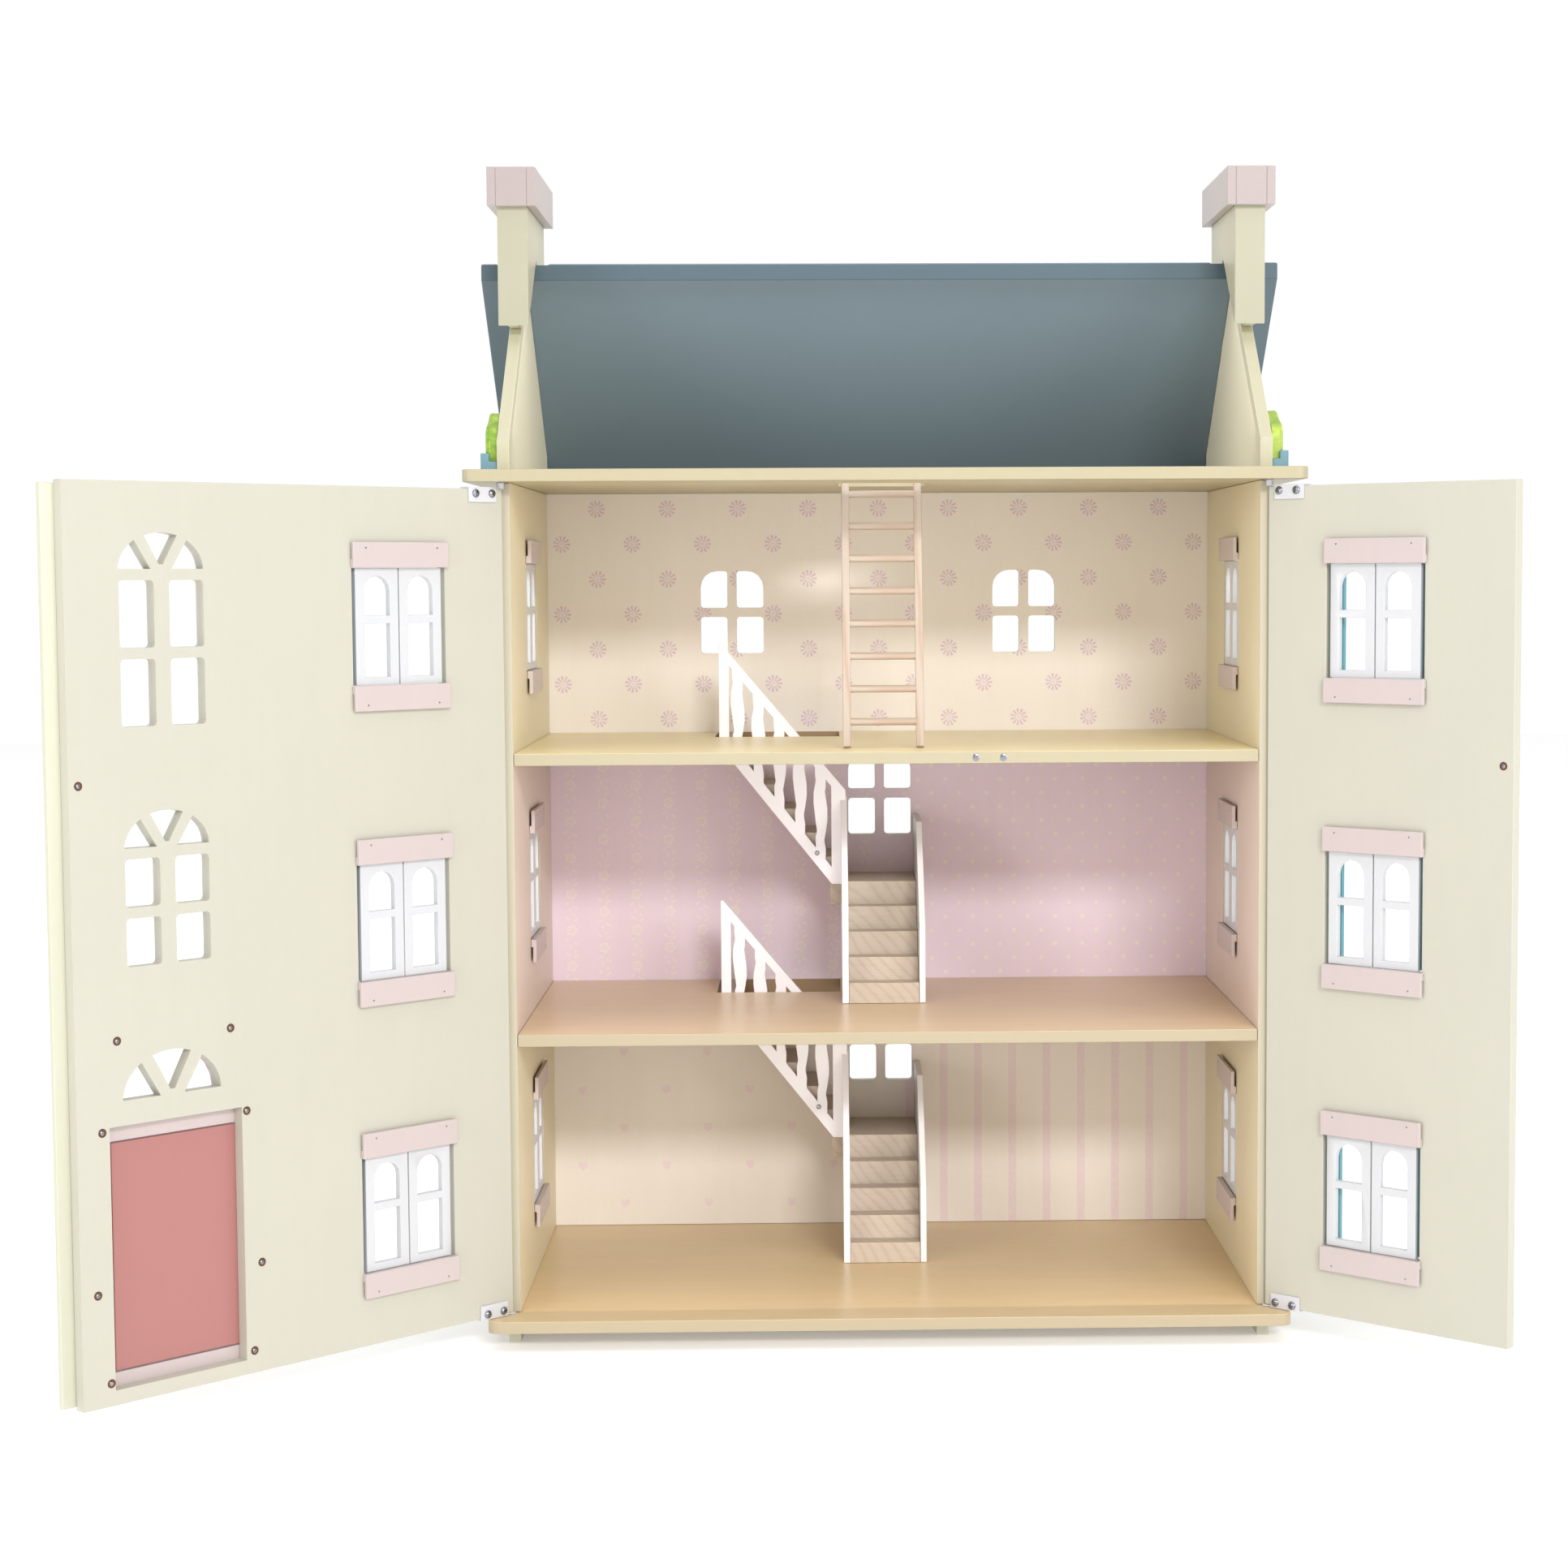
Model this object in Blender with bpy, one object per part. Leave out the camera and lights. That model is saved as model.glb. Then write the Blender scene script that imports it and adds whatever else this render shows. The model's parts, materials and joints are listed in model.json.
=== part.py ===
"""Wooden dollhouse with opening front panels, casement windows, a lifting roof flap and a loose ladder.

Metres, +Z up. The origin is the middle of the base board's underside. The open front faces -Y.
"""
import math

import bmesh
import bpy
from mathutils import Vector
from mathutils.geometry import tessellate_polygon

# ---------------------------------------------------------------- driving dimensions
BOARD = 0.009                  # board that walls, floors and gables are cut from
GAP = 0.0003                   # clearance between touching pieces
INNER_HALF_WIDTH = 0.275
CARCASS_DEPTH = 0.300
ROOM_HEIGHT = 0.1995
TOP_ROOM_HEIGHT = 0.1985
BASE_OVERHANG_SIDE = 0.013
BASE_OVERHANG_FRONT = 0.029
BASE_OVERHANG_REAR = 0.006
TOP_OVERHANG = 0.0235
CORNER_RADIUS = 0.008
RUNNER_HEIGHT = 0.014

ROOF_BOARD = 0.009
GABLE_SHOULDER = 0.0215        # vertical part of the gable above the top board
RIDGE_RISE = 0.1521            # gable apex above the top board
ROOF_HALF_WIDTH = 0.3105
EAVES_OVERHANG = 0.0306
REAR_NOTCH = (0.2752, 0.2929, 0.0705)    # inner x, outer x, reach in y from the ridge
FLAP_NOTCH = (0.2585, 0.2990, 0.0790)

CHIMNEY_INNER_X = 0.2676
CHIMNEY_OUTER_X = 0.2904
CHIMNEY_HALF_DEPTH = 0.0665
CHIMNEY_FOOT = 0.1115          # chimney bottom above the top board
CHIMNEY_TOP = 0.2265
CAP_BOARD = 0.0065
CAP_BOTTOM = 0.2005
CAP_TOP = 0.2295

PIVOT_X = 0.2815               # front panels' pivot axes
PIVOT_FORWARD = 0.003
PIVOT_TO_INNER_FACE = 0.0015
PANEL_START = 0.0001
PANEL_BOTTOM = 0.0016
PANEL_TOP = 0.6105
LEFT_PANEL_REACH = 0.3585
RIGHT_PANEL_REACH = 0.2025
LEFT_PANEL_REST = math.radians(-135.1)
RIGHT_PANEL_REST = math.radians(137.9)

WINDOW_WIDTH = 0.081
WINDOW_HEIGHT = 0.0842
CASEMENT_WIDTH = 0.0368
CASEMENT_THICKNESS = 0.005
CASEMENT_GAP = 0.001
PIN_INSET = 0.002
PANEL_WINDOW_SILL = 0.0533     # window bottom above each floor
SIDE_WINDOW_SILL = 0.0567
LEFT_WINDOW_CENTRE = 0.0935    # from the panel's pivot
RIGHT_WINDOW_CENTRE = 0.0905

DOOR_CENTRE = 0.2815
DOOR_THICKNESS = 0.0054
DOOR_OPENING = (0.2325, 0.3345)
DOOR_OPENING_Z = (0.0115, 0.1870)
LEAF_CENTRE = 0.2795
LEAF_WIDTH = 0.0975
LEAF_Z = (0.0217, 0.1747)
LEAF_CLEARANCE = 0.001
DOOR_PIN = (0.001, 0.0012)    # from the leaf's hinge edge, and from its outer face
FAR_WINDOW_CENTRE = 0.2862     # column of fixed windows on the left panel

STAIR_FRONT = 0.145
STAIR_GOING = 0.017
FIRST_RISER = 0.0165
STAIR_RISER = 0.01845
STAIR_STEPS = 5
STAIR_HALF_WIDTH = 0.0277
STRINGER = 0.005
JOIST_DEPTH = 0.0160             # board below the landing's left end
LANDING_THICKNESS = 0.012
BALUSTRADE_Y = 0.215
BALUSTRADE_LEFT = -0.1312
BALUSTRADE_RIGHT = -0.0290
BALUSTRADE_KNEE = -0.0406        # its lower edge is level right of here and climbs to the left
FLIGHT_START = -0.0336
WELL = (-0.1345, -0.0338)
UPPER_STEPS = 6
BALUSTERS = 5
BALUSTER_FIRST = -0.1161
BALUSTER_PITCH = 0.01665
BALUSTER_PROFILE = ((0.0, 0.0040), (0.13, 0.0042), (0.22, 0.0030), (0.36, 0.0044), (0.52, 0.0057),
                    (0.66, 0.0056), (0.84, 0.0037), (0.90, 0.0044), (1.0, 0.0044))
PITCH_OF_STAIR = 1.19
UNDERSIDE_PITCH = 1.25

HATCH = (-0.034, 0.034, 0.045, 0.132)
LADDER_HALF_WIDTH = 0.0305
LADDER_BAR = 0.006
RUNG_THICKNESS = 0.0048
RUNG_PITCH = 0.0245
RUNG_COUNT = 8

# ---------------------------------------------------------------- derived places
OUTER_HALF_WIDTH = INNER_HALF_WIDTH + BOARD
FLOORS = (BOARD, 2 * BOARD + ROOM_HEIGHT, 3 * BOARD + 2 * ROOM_HEIGHT)
CEILING = FLOORS[2] + TOP_ROOM_HEIGHT
EAVES = CEILING + BOARD
MID = CARCASS_DEPTH / 2
PITCH = (RIDGE_RISE - GABLE_SHOULDER) / MID
SLOPE_LENGTH = math.hypot(1.0, PITCH)
ROOF_PLUMB = ROOF_BOARD * SLOPE_LENGTH
RIDGE_TOP = EAVES + RIDGE_RISE + GAP + ROOF_PLUMB
FLAP_REST = -(math.pi + 2 * math.atan(PITCH))


# ---------------------------------------------------------------- scene and materials
def clear_scene():
    for obj in list(bpy.data.objects):
        bpy.data.objects.remove(obj, do_unlink=True)


def make_material(name, colour, roughness=0.55, metallic=0.0):
    mat = bpy.data.materials.new(name)
    mat.use_nodes = True
    shader = mat.node_tree.nodes["Principled BSDF"]
    shader.inputs["Base Color"].default_value = (*colour, 1.0)
    shader.inputs["Roughness"].default_value = roughness
    shader.inputs["Metallic"].default_value = metallic
    mat.diffuse_color = (*colour, 1.0)
    return mat


def y_at(depth):
    """World Y of a place `depth` behind the side walls' front edges."""
    return depth - MID


# ---------------------------------------------------------------- outlines
def rectangle(u0, u1, v0, v1):
    return [(u0, v0), (u1, v0), (u1, v1), (u0, v1)]


def arc(centre, radius_u, radius_v, start, end, steps):
    """Points on an elliptic arc, angles in degrees, both ends included."""
    points = []
    for i in range(steps + 1):
        angle = math.radians(start + (end - start) * i / steps)
        points.append((centre[0] + radius_u * math.cos(angle), centre[1] + radius_v * math.sin(angle)))
    return points


def rounded_rectangle(u0, u1, v0, v1, radii, steps=3):
    """Corner radii run lower left, lower right, upper right, upper left."""
    corners = [(u0, v0, 1, 1, 180), (u1, v0, -1, 1, 270), (u1, v1, -1, -1, 0), (u0, v1, 1, -1, 90)]
    points = []
    for (u, v, su, sv, start), radius in zip(corners, radii):
        if radius <= 0:
            points.append((u, v))
            continue
        centre = (u + su * radius, v + sv * radius)
        points += arc(centre, radius, radius, start, start + 90, steps)
    return points


def mirrored(outline, axis_u=0.0):
    return [(2 * axis_u - u, v) for u, v in reversed(outline)]


def shifted(outline, du, dv):
    return [(u + du, v + dv) for u, v in outline]


# ---------------------------------------------------------------- solids
def to_3d(plane, u, v, depth):
    if plane == "xz":
        return (u, depth, v)
    if plane == "yz":
        return (depth, u, v)
    return (u, v, depth)


def extruded_mesh(name, plane, outline, holes, low, high):
    """A closed solid from a flat outline with holes, between two depths across its plane."""
    loops = [outline] + list(holes)
    bm = bmesh.new()
    near = [[bm.verts.new(to_3d(plane, u, v, low)) for u, v in loop] for loop in loops]
    far = [[bm.verts.new(to_3d(plane, u, v, high)) for u, v in loop] for loop in loops]
    flat_near = [vert for loop in near for vert in loop]
    flat_far = [vert for loop in far for vert in loop]
    triangles = tessellate_polygon([[Vector((u, v, 0)) for u, v in loop] for loop in loops])
    for a, b, c in triangles:
        bm.faces.new((flat_near[a], flat_near[b], flat_near[c]))
        bm.faces.new((flat_far[c], flat_far[b], flat_far[a]))
    for near_loop, far_loop in zip(near, far):
        count = len(near_loop)
        for i in range(count):
            j = (i + 1) % count
            bm.faces.new((near_loop[i], near_loop[j], far_loop[j], far_loop[i]))
    bmesh.ops.recalc_face_normals(bm, faces=bm.faces)
    mesh = bpy.data.meshes.new(name)
    bm.to_mesh(mesh)
    bm.free()
    return mesh


def add_object(name, mesh, material, parent=None, location=(0, 0, 0), rotation_z=0.0):
    obj = bpy.data.objects.new(name, mesh)
    bpy.context.scene.collection.objects.link(obj)
    obj.location = location
    obj.rotation_euler = (0, 0, rotation_z)
    if parent:
        obj.parent = parent
    if material:
        mesh.materials.append(material)
    return obj


def board(name, plane, outline, low, high, material, holes=(), parent=None, location=(0, 0, 0)):
    mesh = extruded_mesh(name, plane, outline, holes, low, high)
    return add_object(name, mesh, material, parent, location)


def tool(name, plane, outline, low, high, parent=None, location=(0, 0, 0)):
    """A hidden solid for a Boolean modifier."""
    obj = add_object(name, extruded_mesh(name, plane, outline, (), low, high), None, parent, location)
    obj.hide_render = True
    obj.hide_set(True)
    obj.display_type = "WIRE"
    return obj


def combine(obj, other, operation):
    mod = obj.modifiers.new(operation.lower(), "BOOLEAN")
    mod.operation = operation
    mod.solver = "EXACT"
    mod.object = other


def pivot(name, location, rotation=(0, 0, 0), parent=None):
    empty = bpy.data.objects.new(name, None)
    bpy.context.scene.collection.objects.link(empty)
    empty.location = location
    empty.rotation_euler = rotation
    empty.parent = parent
    return empty


# ---------------------------------------------------------------- carcass
def deck_outline(half_width, front, rear):
    """A deck board with its two front corners rounded."""
    radii = (CORNER_RADIUS, CORNER_RADIUS, 0, 0)
    return rounded_rectangle(-half_width, half_width, front, rear, radii, steps=4)


def build_base(mat):
    half = OUTER_HALF_WIDTH + BASE_OVERHANG_SIDE
    outline = deck_outline(half, y_at(-BASE_OVERHANG_FRONT), y_at(CARCASS_DEPTH + BASE_OVERHANG_REAR))
    board("base_board", "xy", outline, 0, BOARD, mat["edge_cream"])
    for side, name in ((-1, "left_foot_runner"), (1, "right_foot_runner")):
        x0, x1 = sorted((side * INNER_HALF_WIDTH, side * OUTER_HALF_WIDTH))
        outline = rectangle(y_at(0), y_at(CARCASS_DEPTH), -RUNNER_HEIGHT, -GAP)
        board(name, "yz", outline, x0, x1, mat["edge_cream"])


def build_side_walls(mat):
    outline = rectangle(y_at(0), y_at(CARCASS_DEPTH - BOARD) - GAP, BOARD + GAP, CEILING - GAP)
    holes = [rectangle(-WINDOW_WIDTH / 2, WINDOW_WIDTH / 2, floor + SIDE_WINDOW_SILL,
                       floor + SIDE_WINDOW_SILL + WINDOW_HEIGHT) for floor in FLOORS]
    board("left_side_wall", "yz", outline, -OUTER_HALF_WIDTH, -INNER_HALF_WIDTH, mat["cream"], holes)
    board("right_side_wall", "yz", outline, INNER_HALF_WIDTH, OUTER_HALF_WIDTH, mat["cream"], holes)


def four_panes(centre, bottom, pane_width=0.0223, pane_height=0.0304, bar=0.0077):
    """A two by two window with the upper outer corners arched."""
    small = 0.0025
    arch = 0.0135
    panes = []
    for side in (-1, 1):
        inner = centre + side * bar / 2
        outer = inner + side * pane_width
        left, right = sorted((inner, outer))
        panes.append(rounded_rectangle(left, right, bottom, bottom + pane_height, (small,) * 4, 2))
        low = bottom + pane_height + bar
        top = (small, small, small, arch) if side < 0 else (small, small, arch, small)
        panes.append(rounded_rectangle(left, right, low, low + pane_height, top, 4))
    return panes


def build_back_wall(mat):
    outline = rectangle(-OUTER_HALF_WIDTH, OUTER_HALF_WIDTH, BOARD + GAP, CEILING - GAP)
    holes = four_panes(-0.1222, FLOORS[2] + 0.0655) + four_panes(0.1213, FLOORS[2] + 0.0655)
    holes += four_panes(0.0, FLOORS[1] + 0.122) + four_panes(0.0, FLOORS[0] + 0.122)
    rear = y_at(CARCASS_DEPTH)
    board("back_wall", "xz", outline, rear - BOARD, rear, mat["cream"], holes)


def floor_outline():
    """A floor board with the stairwell cut in from its rear edge."""
    half = INNER_HALF_WIDTH - GAP
    front = y_at(0)
    rear = y_at(CARCASS_DEPTH - BOARD) - GAP
    well_left, well_right = WELL
    well_front = y_at(BALUSTRADE_Y) - 0.001
    return [(-half, front), (half, front), (half, rear), (well_right, rear), (well_right, well_front),
            (well_left, well_front), (well_left, rear), (-half, rear)]


def build_floors(mat):
    for name, top in (("middle_floor_board", FLOORS[1]), ("upper_floor_board", FLOORS[2])):
        board(name, "xy", floor_outline(), top - BOARD, top, mat["floor_tan"])
    half = OUTER_HALF_WIDTH + TOP_OVERHANG
    outline = deck_outline(half, y_at(-TOP_OVERHANG), y_at(CARCASS_DEPTH + TOP_OVERHANG))
    hatch = rectangle(HATCH[0], HATCH[1], y_at(HATCH[2]), y_at(HATCH[3]))
    board("top_board", "xy", outline, CEILING, EAVES, mat["edge_cream"], [hatch])


# ---------------------------------------------------------------- roof
def gable_line(distance):
    """Height of the gable's sloping edge at a distance from mid depth."""
    return EAVES + RIDGE_RISE - PITCH * abs(distance)


def build_gables(mat):
    outline = [(-MID, EAVES + GAP), (MID, EAVES + GAP), (MID, gable_line(MID)), (0, gable_line(0)),
               (-MID, gable_line(MID))]
    board("left_gable", "yz", outline, -OUTER_HALF_WIDTH, -INNER_HALF_WIDTH, mat["cream"])
    board("right_gable", "yz", outline, INNER_HALF_WIDTH, OUTER_HALF_WIDTH, mat["cream"])


def build_chimney(side, mat):
    name = "left" if side < 0 else "right"
    foot = EAVES + CHIMNEY_FOOT
    x0, x1 = sorted((side * CHIMNEY_INNER_X, side * CHIMNEY_OUTER_X))
    outline = rectangle(-CHIMNEY_HALF_DEPTH, CHIMNEY_HALF_DEPTH, foot, EAVES + CHIMNEY_TOP)
    stack = board(name + "_chimney_stack", "yz", outline, x0, x1, mat["cream"])

    # The stack is cut along the roof on both sides of the gable, and its middle sits astride the gable.
    clear = 0.0035
    reach = CHIMNEY_HALF_DEPTH + 0.002
    apex = RIDGE_TOP + clear
    slope = (apex - foot) / CHIMNEY_HALF_DEPTH
    roof_cut = [(-reach, apex - slope * reach), (reach, apex - slope * reach), (0, apex)]
    lap = 0.0005
    x0, x1 = sorted((side * (CHIMNEY_INNER_X - 0.001), side * (INNER_HALF_WIDTH + lap)))
    combine(stack, tool(name + "_inner_roof_cut", "yz", roof_cut, x0, x1), "DIFFERENCE")
    x0, x1 = sorted((side * (OUTER_HALF_WIDTH - lap), side * (CHIMNEY_OUTER_X + 0.001)))
    combine(stack, tool(name + "_outer_roof_cut", "yz", roof_cut, x0, x1), "DIFFERENCE")
    low = foot - 0.004
    half = (EAVES + RIDGE_RISE + GAP - low) / PITCH
    gable_cut = [(-half, low), (half, low), (0, EAVES + RIDGE_RISE + GAP)]
    x0, x1 = sorted((side * (INNER_HALF_WIDTH - GAP), side * (OUTER_HALF_WIDTH + GAP)))
    combine(stack, tool(name + "_gable_cut", "yz", gable_cut, x0, x1), "DIFFERENCE")

    u0, u1 = sorted((side * (CHIMNEY_INNER_X - GAP), side * (CHIMNEY_OUTER_X + GAP)))
    hole = rectangle(u0, u1, -CHIMNEY_HALF_DEPTH - GAP, CHIMNEY_HALF_DEPTH + GAP)
    outer = rectangle(u0 - CAP_BOARD, u1 + CAP_BOARD, -CHIMNEY_HALF_DEPTH - GAP - CAP_BOARD,
                      CHIMNEY_HALF_DEPTH + GAP + CAP_BOARD)
    board(name + "_chimney_cap", "xy", outer, EAVES + CAP_BOTTOM, EAVES + CAP_TOP, mat["pale_pink"], [hole])


def slope_outline(side, ridge_y, ridge_z):
    """Section of a roof board in YZ, cut plumb at the ridge and square at the eaves."""
    run = MID + EAVES_OVERHANG
    eaves_y = side * run
    eaves_z = ridge_z - PITCH * run
    nx = side * PITCH / SLOPE_LENGTH * ROOF_BOARD
    nz = ROOF_BOARD / SLOPE_LENGTH
    start = side * ridge_y
    return [(start, ridge_z - PITCH * ridge_y), (eaves_y, eaves_z), (eaves_y - nx, eaves_z - nz),
            (start, ridge_z - PITCH * ridge_y - ROOF_PLUMB)]


def cut_notches(panel, notch, side, parent=None, height=0.0):
    inner, outer, reach = notch
    for edge in (-1, 1):
        x0, x1 = sorted((edge * inner, edge * outer))
        y0, y1 = sorted((-side * 0.004, side * reach))
        box = rectangle(x0, x1, y0, y1)
        name = "%s_notch_%s" % (panel.name, "left" if edge < 0 else "right")
        low = height - 0.11
        combine(panel, tool(name, "xy", box, low, height + 0.02, parent), "DIFFERENCE")


def build_roof(mat):
    outline = slope_outline(1, GAP / 2, RIDGE_TOP)
    rear = board("rear_roof_panel", "yz", outline, -ROOF_HALF_WIDTH, ROOF_HALF_WIDTH, mat["slate"])
    cut_notches(rear, REAR_NOTCH, 1, height=RIDGE_TOP)

    hinge = pivot("roof_hinge_axis", (0, 0, RIDGE_TOP + GAP), rotation=(FLAP_REST, 0, 0))
    outline = slope_outline(-1, GAP / 2, -GAP)
    flap = board("front_roof_flap", "yz", outline, -ROOF_HALF_WIDTH, ROOF_HALF_WIDTH, mat["slate"], parent=hinge)
    cut_notches(flap, FLAP_NOTCH, -1, parent=hinge)


def hedge_outline(start, end, bottom):
    """A hedge board: rounded lobes that step up from both ends and roll along the middle."""
    low_lobe = 0.0262
    high_lobe = 0.0375
    radius = 0.011
    points = [(start, bottom), (end, bottom)]
    right_side = arc((end - radius, bottom + low_lobe - radius), radius, radius, 0, 80, 4)
    crest = []
    lobes = 5
    span = (end - start - 4 * radius) / lobes
    for i in range(lobes):
        centre = end - 2 * radius - span * (i + 0.5)
        crest += arc((centre, bottom + high_lobe - 0.008), span * 0.5, 0.008, 12, 168, 5)
    left_side = arc((start + radius, bottom + low_lobe - radius), radius, radius, 100, 180, 4)
    return points + right_side + crest + left_side


def build_planters(mat):
    trough = 0.0122
    base = 0.0062
    lip = 0.0062
    width = 0.0118
    hedge = 0.0042
    length = 0.296
    for side, name in ((-1, "left_planter"), (1, "right_planter")):
        wall = OUTER_HALF_WIDTH + GAP
        low = EAVES + GAP
        section = [(wall, low), (wall + width, low), (wall + width, low + trough),
                   (wall + width - lip, low + trough), (wall + width - lip, low + base), (wall, low + base)]
        if side < 0:
            section = mirrored(section)
        body = board(name, "xz", section, y_at(0.002), y_at(length), mat["pale_blue"])
        outline = hedge_outline(y_at(0.007), y_at(length - 0.003), low + base - 0.0008)
        x0, x1 = sorted((side * wall, side * (wall + hedge)))
        leaf = tool(name + "_hedge", "yz", outline, x0, x1)
        combine(body, leaf, "UNION")


# ---------------------------------------------------------------- stairs and ladder
def stair_height(step):
    return FIRST_RISER + STAIR_RISER * step


def steps_outline(floor):
    """Lower flight and landing in YZ, as one sawtooth with a level landing."""
    points = []
    y = STAIR_FRONT
    last = 0.0
    for step in range(STAIR_STEPS):
        height = stair_height(step)
        points += [(y_at(y), floor + last), (y_at(y), floor + height)]
        last = height
        y += STAIR_GOING
    rear = y_at(CARCASS_DEPTH - BOARD) - 2 * GAP
    points += [(rear, floor + last), (rear, floor + last - LANDING_THICKNESS)]
    under = y_at(STAIR_FRONT + STAIR_STEPS * STAIR_GOING)
    points += [(under, floor + last - LANDING_THICKNESS), (y_at(STAIR_FRONT + STAIR_GOING), floor)]
    points[0] = (points[0][0], floor + GAP)
    points[-1] = (points[-1][0], floor + GAP)
    return points


def upper_flight_outline(floor):
    """Upper flight in XZ: it climbs to the left from the landing to the next floor."""
    landing = floor + stair_height(STAIR_STEPS - 1)
    rise = (ROOM_HEIGHT + BOARD - stair_height(STAIR_STEPS - 1)) / UPPER_STEPS
    start = FLIGHT_START
    going = (start - BALUSTRADE_LEFT) / UPPER_STEPS
    inside = -STAIR_HALF_WIDTH + 0.002
    knee = BALUSTRADE_KNEE - 0.0012
    points = [(knee, landing - LANDING_THICKNESS), (inside, landing - LANDING_THICKNESS), (inside, landing)]
    for step in range(UPPER_STEPS):
        x = start - going * step
        points += [(x, landing + rise * step), (x, landing + rise * (step + 1))]
    x = start - going * UPPER_STEPS
    under = 0.0012
    points += [(x, landing + rise * UPPER_STEPS), (x, balustrade_low(floor, x) + under),
               (knee, balustrade_low(floor, knee) + under)]
    return points


def stringer_outline(floor, front_height, top_height, rail_rear):
    """Side board of the lower flight, with a level rail beside the landing when rail_rear is given."""
    front = y_at(STAIR_FRONT)
    corner = y_at(BALUSTRADE_Y) + STRINGER / 2
    landing = stair_height(STAIR_STEPS - 1)
    points = [(front, floor + GAP), (front + 0.014, floor + GAP), (corner, floor + landing - 0.020)]
    if rail_rear is None:
        points += [(corner, floor + top_height)]
    else:
        points += [(rail_rear, floor + landing - 0.020), (rail_rear, floor + top_height),
                   (corner, floor + top_height)]
    return points + [(front, floor + front_height)]


def balustrade_slots(floor):
    """Openings between the balusters of the sloping balustrade, in XZ."""
    lower_rail = 0.0140
    upper_rail = 0.0105
    first = BALUSTRADE_LEFT + 0.0081
    last = FLIGHT_START - 0.0072
    slots = []
    for i in range(BALUSTERS + 1):
        left_side = []
        right_side = []
        centre = BALUSTER_FIRST + BALUSTER_PITCH * i
        for t, half_width in BALUSTER_PROFILE:
            left = centre - BALUSTER_PITCH + half_width if i else first
            right = centre - half_width if i < BALUSTERS else last
            for x, points in ((left, left_side), (right, right_side)):
                low = balustrade_low(floor, x) + lower_rail
                high = balustrade_high(floor, x) - upper_rail
                points.append((x, low + (high - low) * t))
        slots.append(right_side + left_side[::-1])
    return slots


def balustrade_low(floor, x):
    return floor + 0.0880 + UNDERSIDE_PITCH * max(0.0, BALUSTRADE_KNEE - x)


def balustrade_high(floor, x):
    return floor + 0.1645 + PITCH_OF_STAIR * (BALUSTRADE_RIGHT - x)


def balustrade_outline(floor):
    return [(BALUSTRADE_RIGHT, floor + 0.0880), (BALUSTRADE_RIGHT, balustrade_high(floor, BALUSTRADE_RIGHT)),
            (BALUSTRADE_LEFT + 0.002, balustrade_high(floor, BALUSTRADE_LEFT + 0.002)),
            (BALUSTRADE_LEFT, balustrade_high(floor, BALUSTRADE_LEFT + 0.002)),
            (BALUSTRADE_LEFT, balustrade_low(floor, BALUSTRADE_LEFT)), (BALUSTRADE_KNEE, floor + 0.0880)]


def build_staircase(prefix, floor, mat):
    rear = y_at(CARCASS_DEPTH - BOARD) - 2 * GAP
    front_face = y_at(BALUSTRADE_Y)
    steps = board(prefix + "_stair_steps", "yz", steps_outline(floor), -STAIR_HALF_WIDTH, STAIR_HALF_WIDTH,
                  mat["pine"])
    flight = tool(prefix + "_upper_flight", "xz", upper_flight_outline(floor),
                  front_face + STRINGER + GAP, rear)
    combine(steps, flight, "UNION")
    landing = stair_height(STAIR_STEPS - 1)
    joist_top = floor + landing - 0.0035
    joist = rectangle(BALUSTRADE_KNEE - 0.0009, -STAIR_HALF_WIDTH + 0.001, joist_top - JOIST_DEPTH, joist_top)
    combine(steps, tool(prefix + "_joist", "xz", joist, front_face + STRINGER + GAP, rear), "UNION")

    right = STAIR_HALF_WIDTH + GAP
    outline = stringer_outline(floor, 0.0610, 0.1387, rear)
    board(prefix + "_stair_right_stringer", "yz", outline, right, right + STRINGER, mat["white"])
    balustrade = board(prefix + "_stair_balustrade", "xz", balustrade_outline(floor), front_face,
                       front_face + STRINGER, mat["white"], balustrade_slots(floor))
    left = -STAIR_HALF_WIDTH - GAP
    outline = stringer_outline(floor, 0.0820, 0.1594, None)
    side = tool(prefix + "_left_stringer", "yz", outline, left - STRINGER, left)
    combine(balustrade, side, "UNION")


def ladder_outline(length, bottom_rung):
    """Two stiles and their rungs as one outline: notches at both ends, holes between the rungs."""
    outer = LADDER_HALF_WIDTH
    inner = outer - LADDER_BAR
    half = RUNG_THICKNESS / 2
    top_rung = bottom_rung + RUNG_PITCH * (RUNG_COUNT - 1)
    outline = [(-outer, 0), (-inner, 0), (-inner, bottom_rung - half), (inner, bottom_rung - half), (inner, 0),
               (outer, 0), (outer, length), (inner, length), (inner, top_rung + half),
               (-inner, top_rung + half), (-inner, length), (-outer, length)]
    holes = []
    for i in range(RUNG_COUNT - 1):
        low = bottom_rung + RUNG_PITCH * i + half
        holes.append(rectangle(-inner, inner, low, low + RUNG_PITCH - RUNG_THICKNESS))
    return outline, holes


def build_ladder(mat):
    lean = math.radians(13.5)
    outline, holes = ladder_outline(0.2065, 0.0190)
    scale = 1 / math.cos(lean)
    outline = [(u, v * scale) for u, v in outline]
    holes = [[(u, v * scale) for u, v in hole] for hole in holes]
    foot = pivot("ladder_foot", (-0.0017, y_at(0.037), FLOORS[2] + GAP + LADDER_BAR * math.sin(lean)),
                 rotation=(-lean, 0, 0))
    board("attic_ladder", "xz", outline, 0, LADDER_BAR, mat["beech"], holes, parent=foot)


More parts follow.
